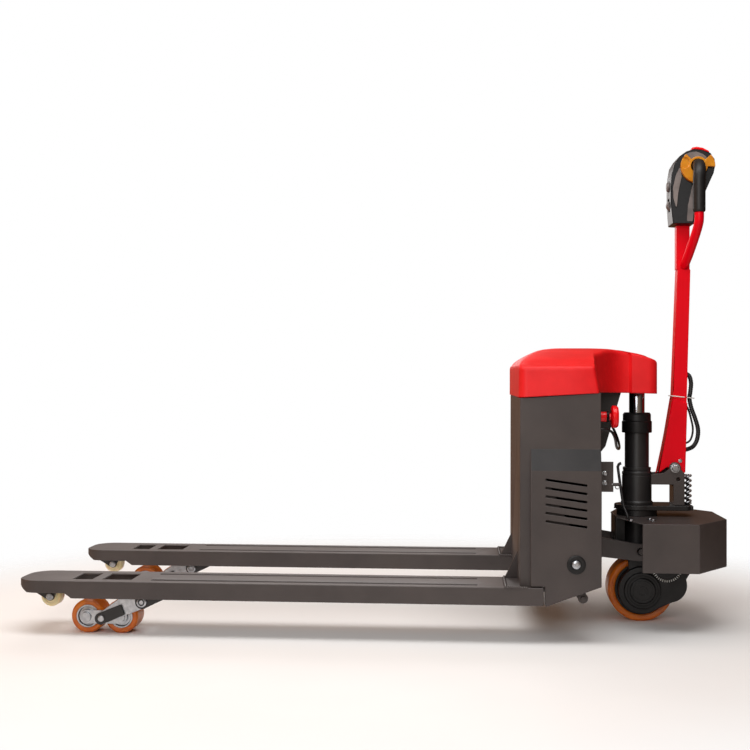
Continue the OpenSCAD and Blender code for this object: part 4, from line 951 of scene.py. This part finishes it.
cover_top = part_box("drive_cover")[1].z
tiller_pin_at = Vector((axis_x + 0.093, 0, 0.396))
pin_reach = round((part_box("link_pins")[1].y - fork_centre) / MM - 6, 3)
COVER_BOLTS = [(-35, -150), (16, -120), (20, -142), (-35, 150), (16, 120), (20, 142)]
for k, (x, y) in enumerate(COVER_BOLTS):
    bolt(f"cover_bolt_{k}", (axis_x + x * MM, y * MM, cover_top), UP, 5.5, "drive_fasteners", stands_for=k == 0)
turned("tiller_bolt", [(0, -36), (8, -36), (8, 36), (0, 36)], tiller_pin_at,
       ACROSS, ZINC, "drive_fasteners", fillet=0.5, stands_for=False)
for side, sign in SIDES.items():
    bolt(f"tiller_bolt_{side}", tiller_pin_at + Vector((0, sign * 0.0341, 0)), (0, sign, 0), 9.6, "drive_fasteners")
    turned(f"stop_rivet_{side}", [(0, 0), (5.5, 0), (4.6, 1.6), (0, 2.2)],
           tiller_pin_at + Vector((0.0145, sign * 0.0235, 0.018)), (0, sign, 0), ZINC, "tiller_arm", fillet=0.5,
           sides=32, stands_for=False, slot="zinc")
    pod_face = Vector((middle("rocker_pivots").x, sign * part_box("side_pod_right")[1].y, middle("rocker_pivots").z))
    out = (0, sign, 0)
    turned(f"pivot_ring_{side}", [(11.2, 0), (22, 0), (22, 2.4), (19, 3.6), (11.2, 3.6)], pod_face, out, IRON,
           "rocker_pivots", fillet=0.8, stands_for=False, slot="cast_black")
    turned(f"pivot_dome_{side}", [(0, -78), (11, -78), (11, 1.6), (9.6, 4.2), (5.5, 5.8), (0, 6.2)], pod_face, out, ZINC,
           "rocker_pivots", fillet=1.0)
    fork_at = sign * fork_centre
    for name, node, reach_mm, pin, head, thick in (("entry_axle", "entry_axles", 22, 6, 9, 5),
                                                   ("link_pin", "link_pins", pin_reach, 9, 12, 6)):
        centre = Vector((middle(node).x, fork_at, middle(node).z))
        turned(f"{name}_{side}", [(0, -reach_mm - thick), (pin, -reach_mm - thick), (pin, reach_mm + thick),
                                  (0, reach_mm + thick)], centre, ACROSS, ZINC, node, fillet=0.8, sides=48)
        for end in (-1, 1):
            turned(f"{name}_{side}_head_{end}", [(pin * 0.5, 0), (head, 0), (head, thick * 0.7), (head * 0.75, thick),
                                                 (pin * 0.5, thick)],
                   centre + Vector((0, end * reach_mm * MM, 0)), (0, end, 0), ZINC, node, fillet=0.8, sides=48,
                   stands_for=False)

# %% [markdown]
# ## Guide rod, bracket and drive trim
# A bent rod keeps the cables clear of the drive cover. The cable bracket behind the chassis carries two
# bright screws and a wing screw. The gearbox wears a stepped cap and a fan of cooling ribs.

# %% Guide rod, bracket screws and drive trim
GUIDE = [(-38, -116, 272.2), (-39, -116, 280), (-43, -108, 292), (-48, -98, 312), (-57, -72, 394), (-57, -70, 402),
         (-54, -70, 408), (-49, -70, 410)]
hose("guide_rod_bent", flow([(axis_x + x * MM, y * MM, z * MM) for x, y, z in GUIDE], 6), 0.0035, BLACK,
     "guide_rod", sides=16)
for k, z in enumerate((0.374, 0.397)):
    turned(f"bracket_screw_{k}", [(0, 0), (5.4, 0), (5.2, 2.4), (3.4, 3.6), (0, 3.8)],
           (rear_x + 0.018, -0.242, z), (0, -1, 0), ZINC, "cable_bracket", fillet=0.6, sides=40, stands_for=False,
           slot="zinc")
turned("wing_screw", [(0, -4), (2.2, -4), (2.2, 12), (0, 12)], (rear_x + 0.038, -0.24, 0.371), BACKWARDS, ZINC,
       "cable_bracket", fillet=0.4, sides=24, stands_for=False, slot="zinc")
ring_at = Vector((rear_x + 0.0475, -0.24, 0.364))
hose("wing_ring", [ring_at + Vector((0.0048 * math.cos(math.radians(a)), 0, 0.0048 * math.sin(math.radians(a))))
                   for a in range(0, 361, 15)], 0.0012, ZINC, "cable_bracket", sides=10, stands_for=False, slot="zinc")
gear_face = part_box("gearbox")[0].y
rib_y = -0.062
rib_at = Vector((axis_x + 0.068, 0, 0.145))
for k in range(19):
    angle = math.radians(190 + 160 * k / 18)
    ahead, side_way = Vector((math.cos(angle), math.sin(angle))), Vector((-math.sin(angle), math.cos(angle)))
    start = Vector((rib_at.x, rib_at.z)) + ahead * 0.033
    outline = [start + side_way * 0.0008, start + ahead * 0.006 + side_way * 0.0008,
               start + ahead * 0.006 - side_way * 0.0008, start - side_way * 0.0008]
    plate(f"cooling_rib_{k}", outline, rib_y - 0.0022, rib_y, WHITE, "gearbox", fillet=0, edge=0.3,
          stands_for=False)
turned("cooling_disc", [(0, 0), (27, 0), (27, 0.5), (25, 1), (0, 1)], (rib_at.x, rib_y, rib_at.z), (0, -1, 0), IRON,
       "gearbox", fillet=0.5, stands_for=False)
cap_at = Vector((wheel_at.x, gear_face, wheel_at.z))
for r in (40, 26, 12):
    turned(f"cap_ring_{r}", [(r - 2.4, 0), (r, 0), (r, 1.2), (r - 2.4, 1.2)],
           cap_at + Vector((0, 0.0 if r < 32 else 0.0042, 0)), (0, -1, 0), IRON, "gearbox", fillet=0.6,
           stands_for=False)
# Painted shade: a black plate inside the drive cover fills the see-through gap behind its front, where the cover's
# interior is only in shadow.
plate("cover_shade_baffle", [(axis_x - 0.058, 0.204), (axis_x - 0.036, 0.204), (axis_x - 0.036, 0.268),
                       (axis_x - 0.058, 0.268)], -0.048, 0.048, IRON, "drive_cover", stands_for=False)

# %% [markdown]
# ## Weld beads
# The forks are welded to the chassis. A bead is a fillet with a ripple every few millimetres.

# %% Weld beads
BEAD_R, RIPPLE_MM = 0.0035, 5.0


def bead(name, start, end, node):
    length = (Vector(end) - Vector(start)).length / MM
    steps = max(int(length / 1.25), 8)
    route = [Vector(start).lerp(Vector(end), k / steps) for k in range(steps + 1)]
    hose(name, route, lambda share: BEAD_R * (1 + 0.16 * math.sin(2 * math.pi * share * length / RIPPLE_MM)),
         GRAPHITE, node, sides=12, stands_for=False, smooth_angle=60)


heel_top = fork_high.z
for side, sign in SIDES.items():
    for edge, y in (("outer", sign * (fork_centre + 0.078)), ("inner", sign * (fork_centre - 0.078))):
        bead(f"heel_bead_{edge}_{side}", (heel_x - 0.003, y, heel_top), (heel_x + 0.05, y, heel_top), "chassis_frame")
    bead(f"heel_bead_front_{side}", (heel_x - 0.001, sign * (fork_centre - 0.078), heel_top),
         (heel_x - 0.001, sign * (fork_centre + 0.078), heel_top), "chassis_frame")
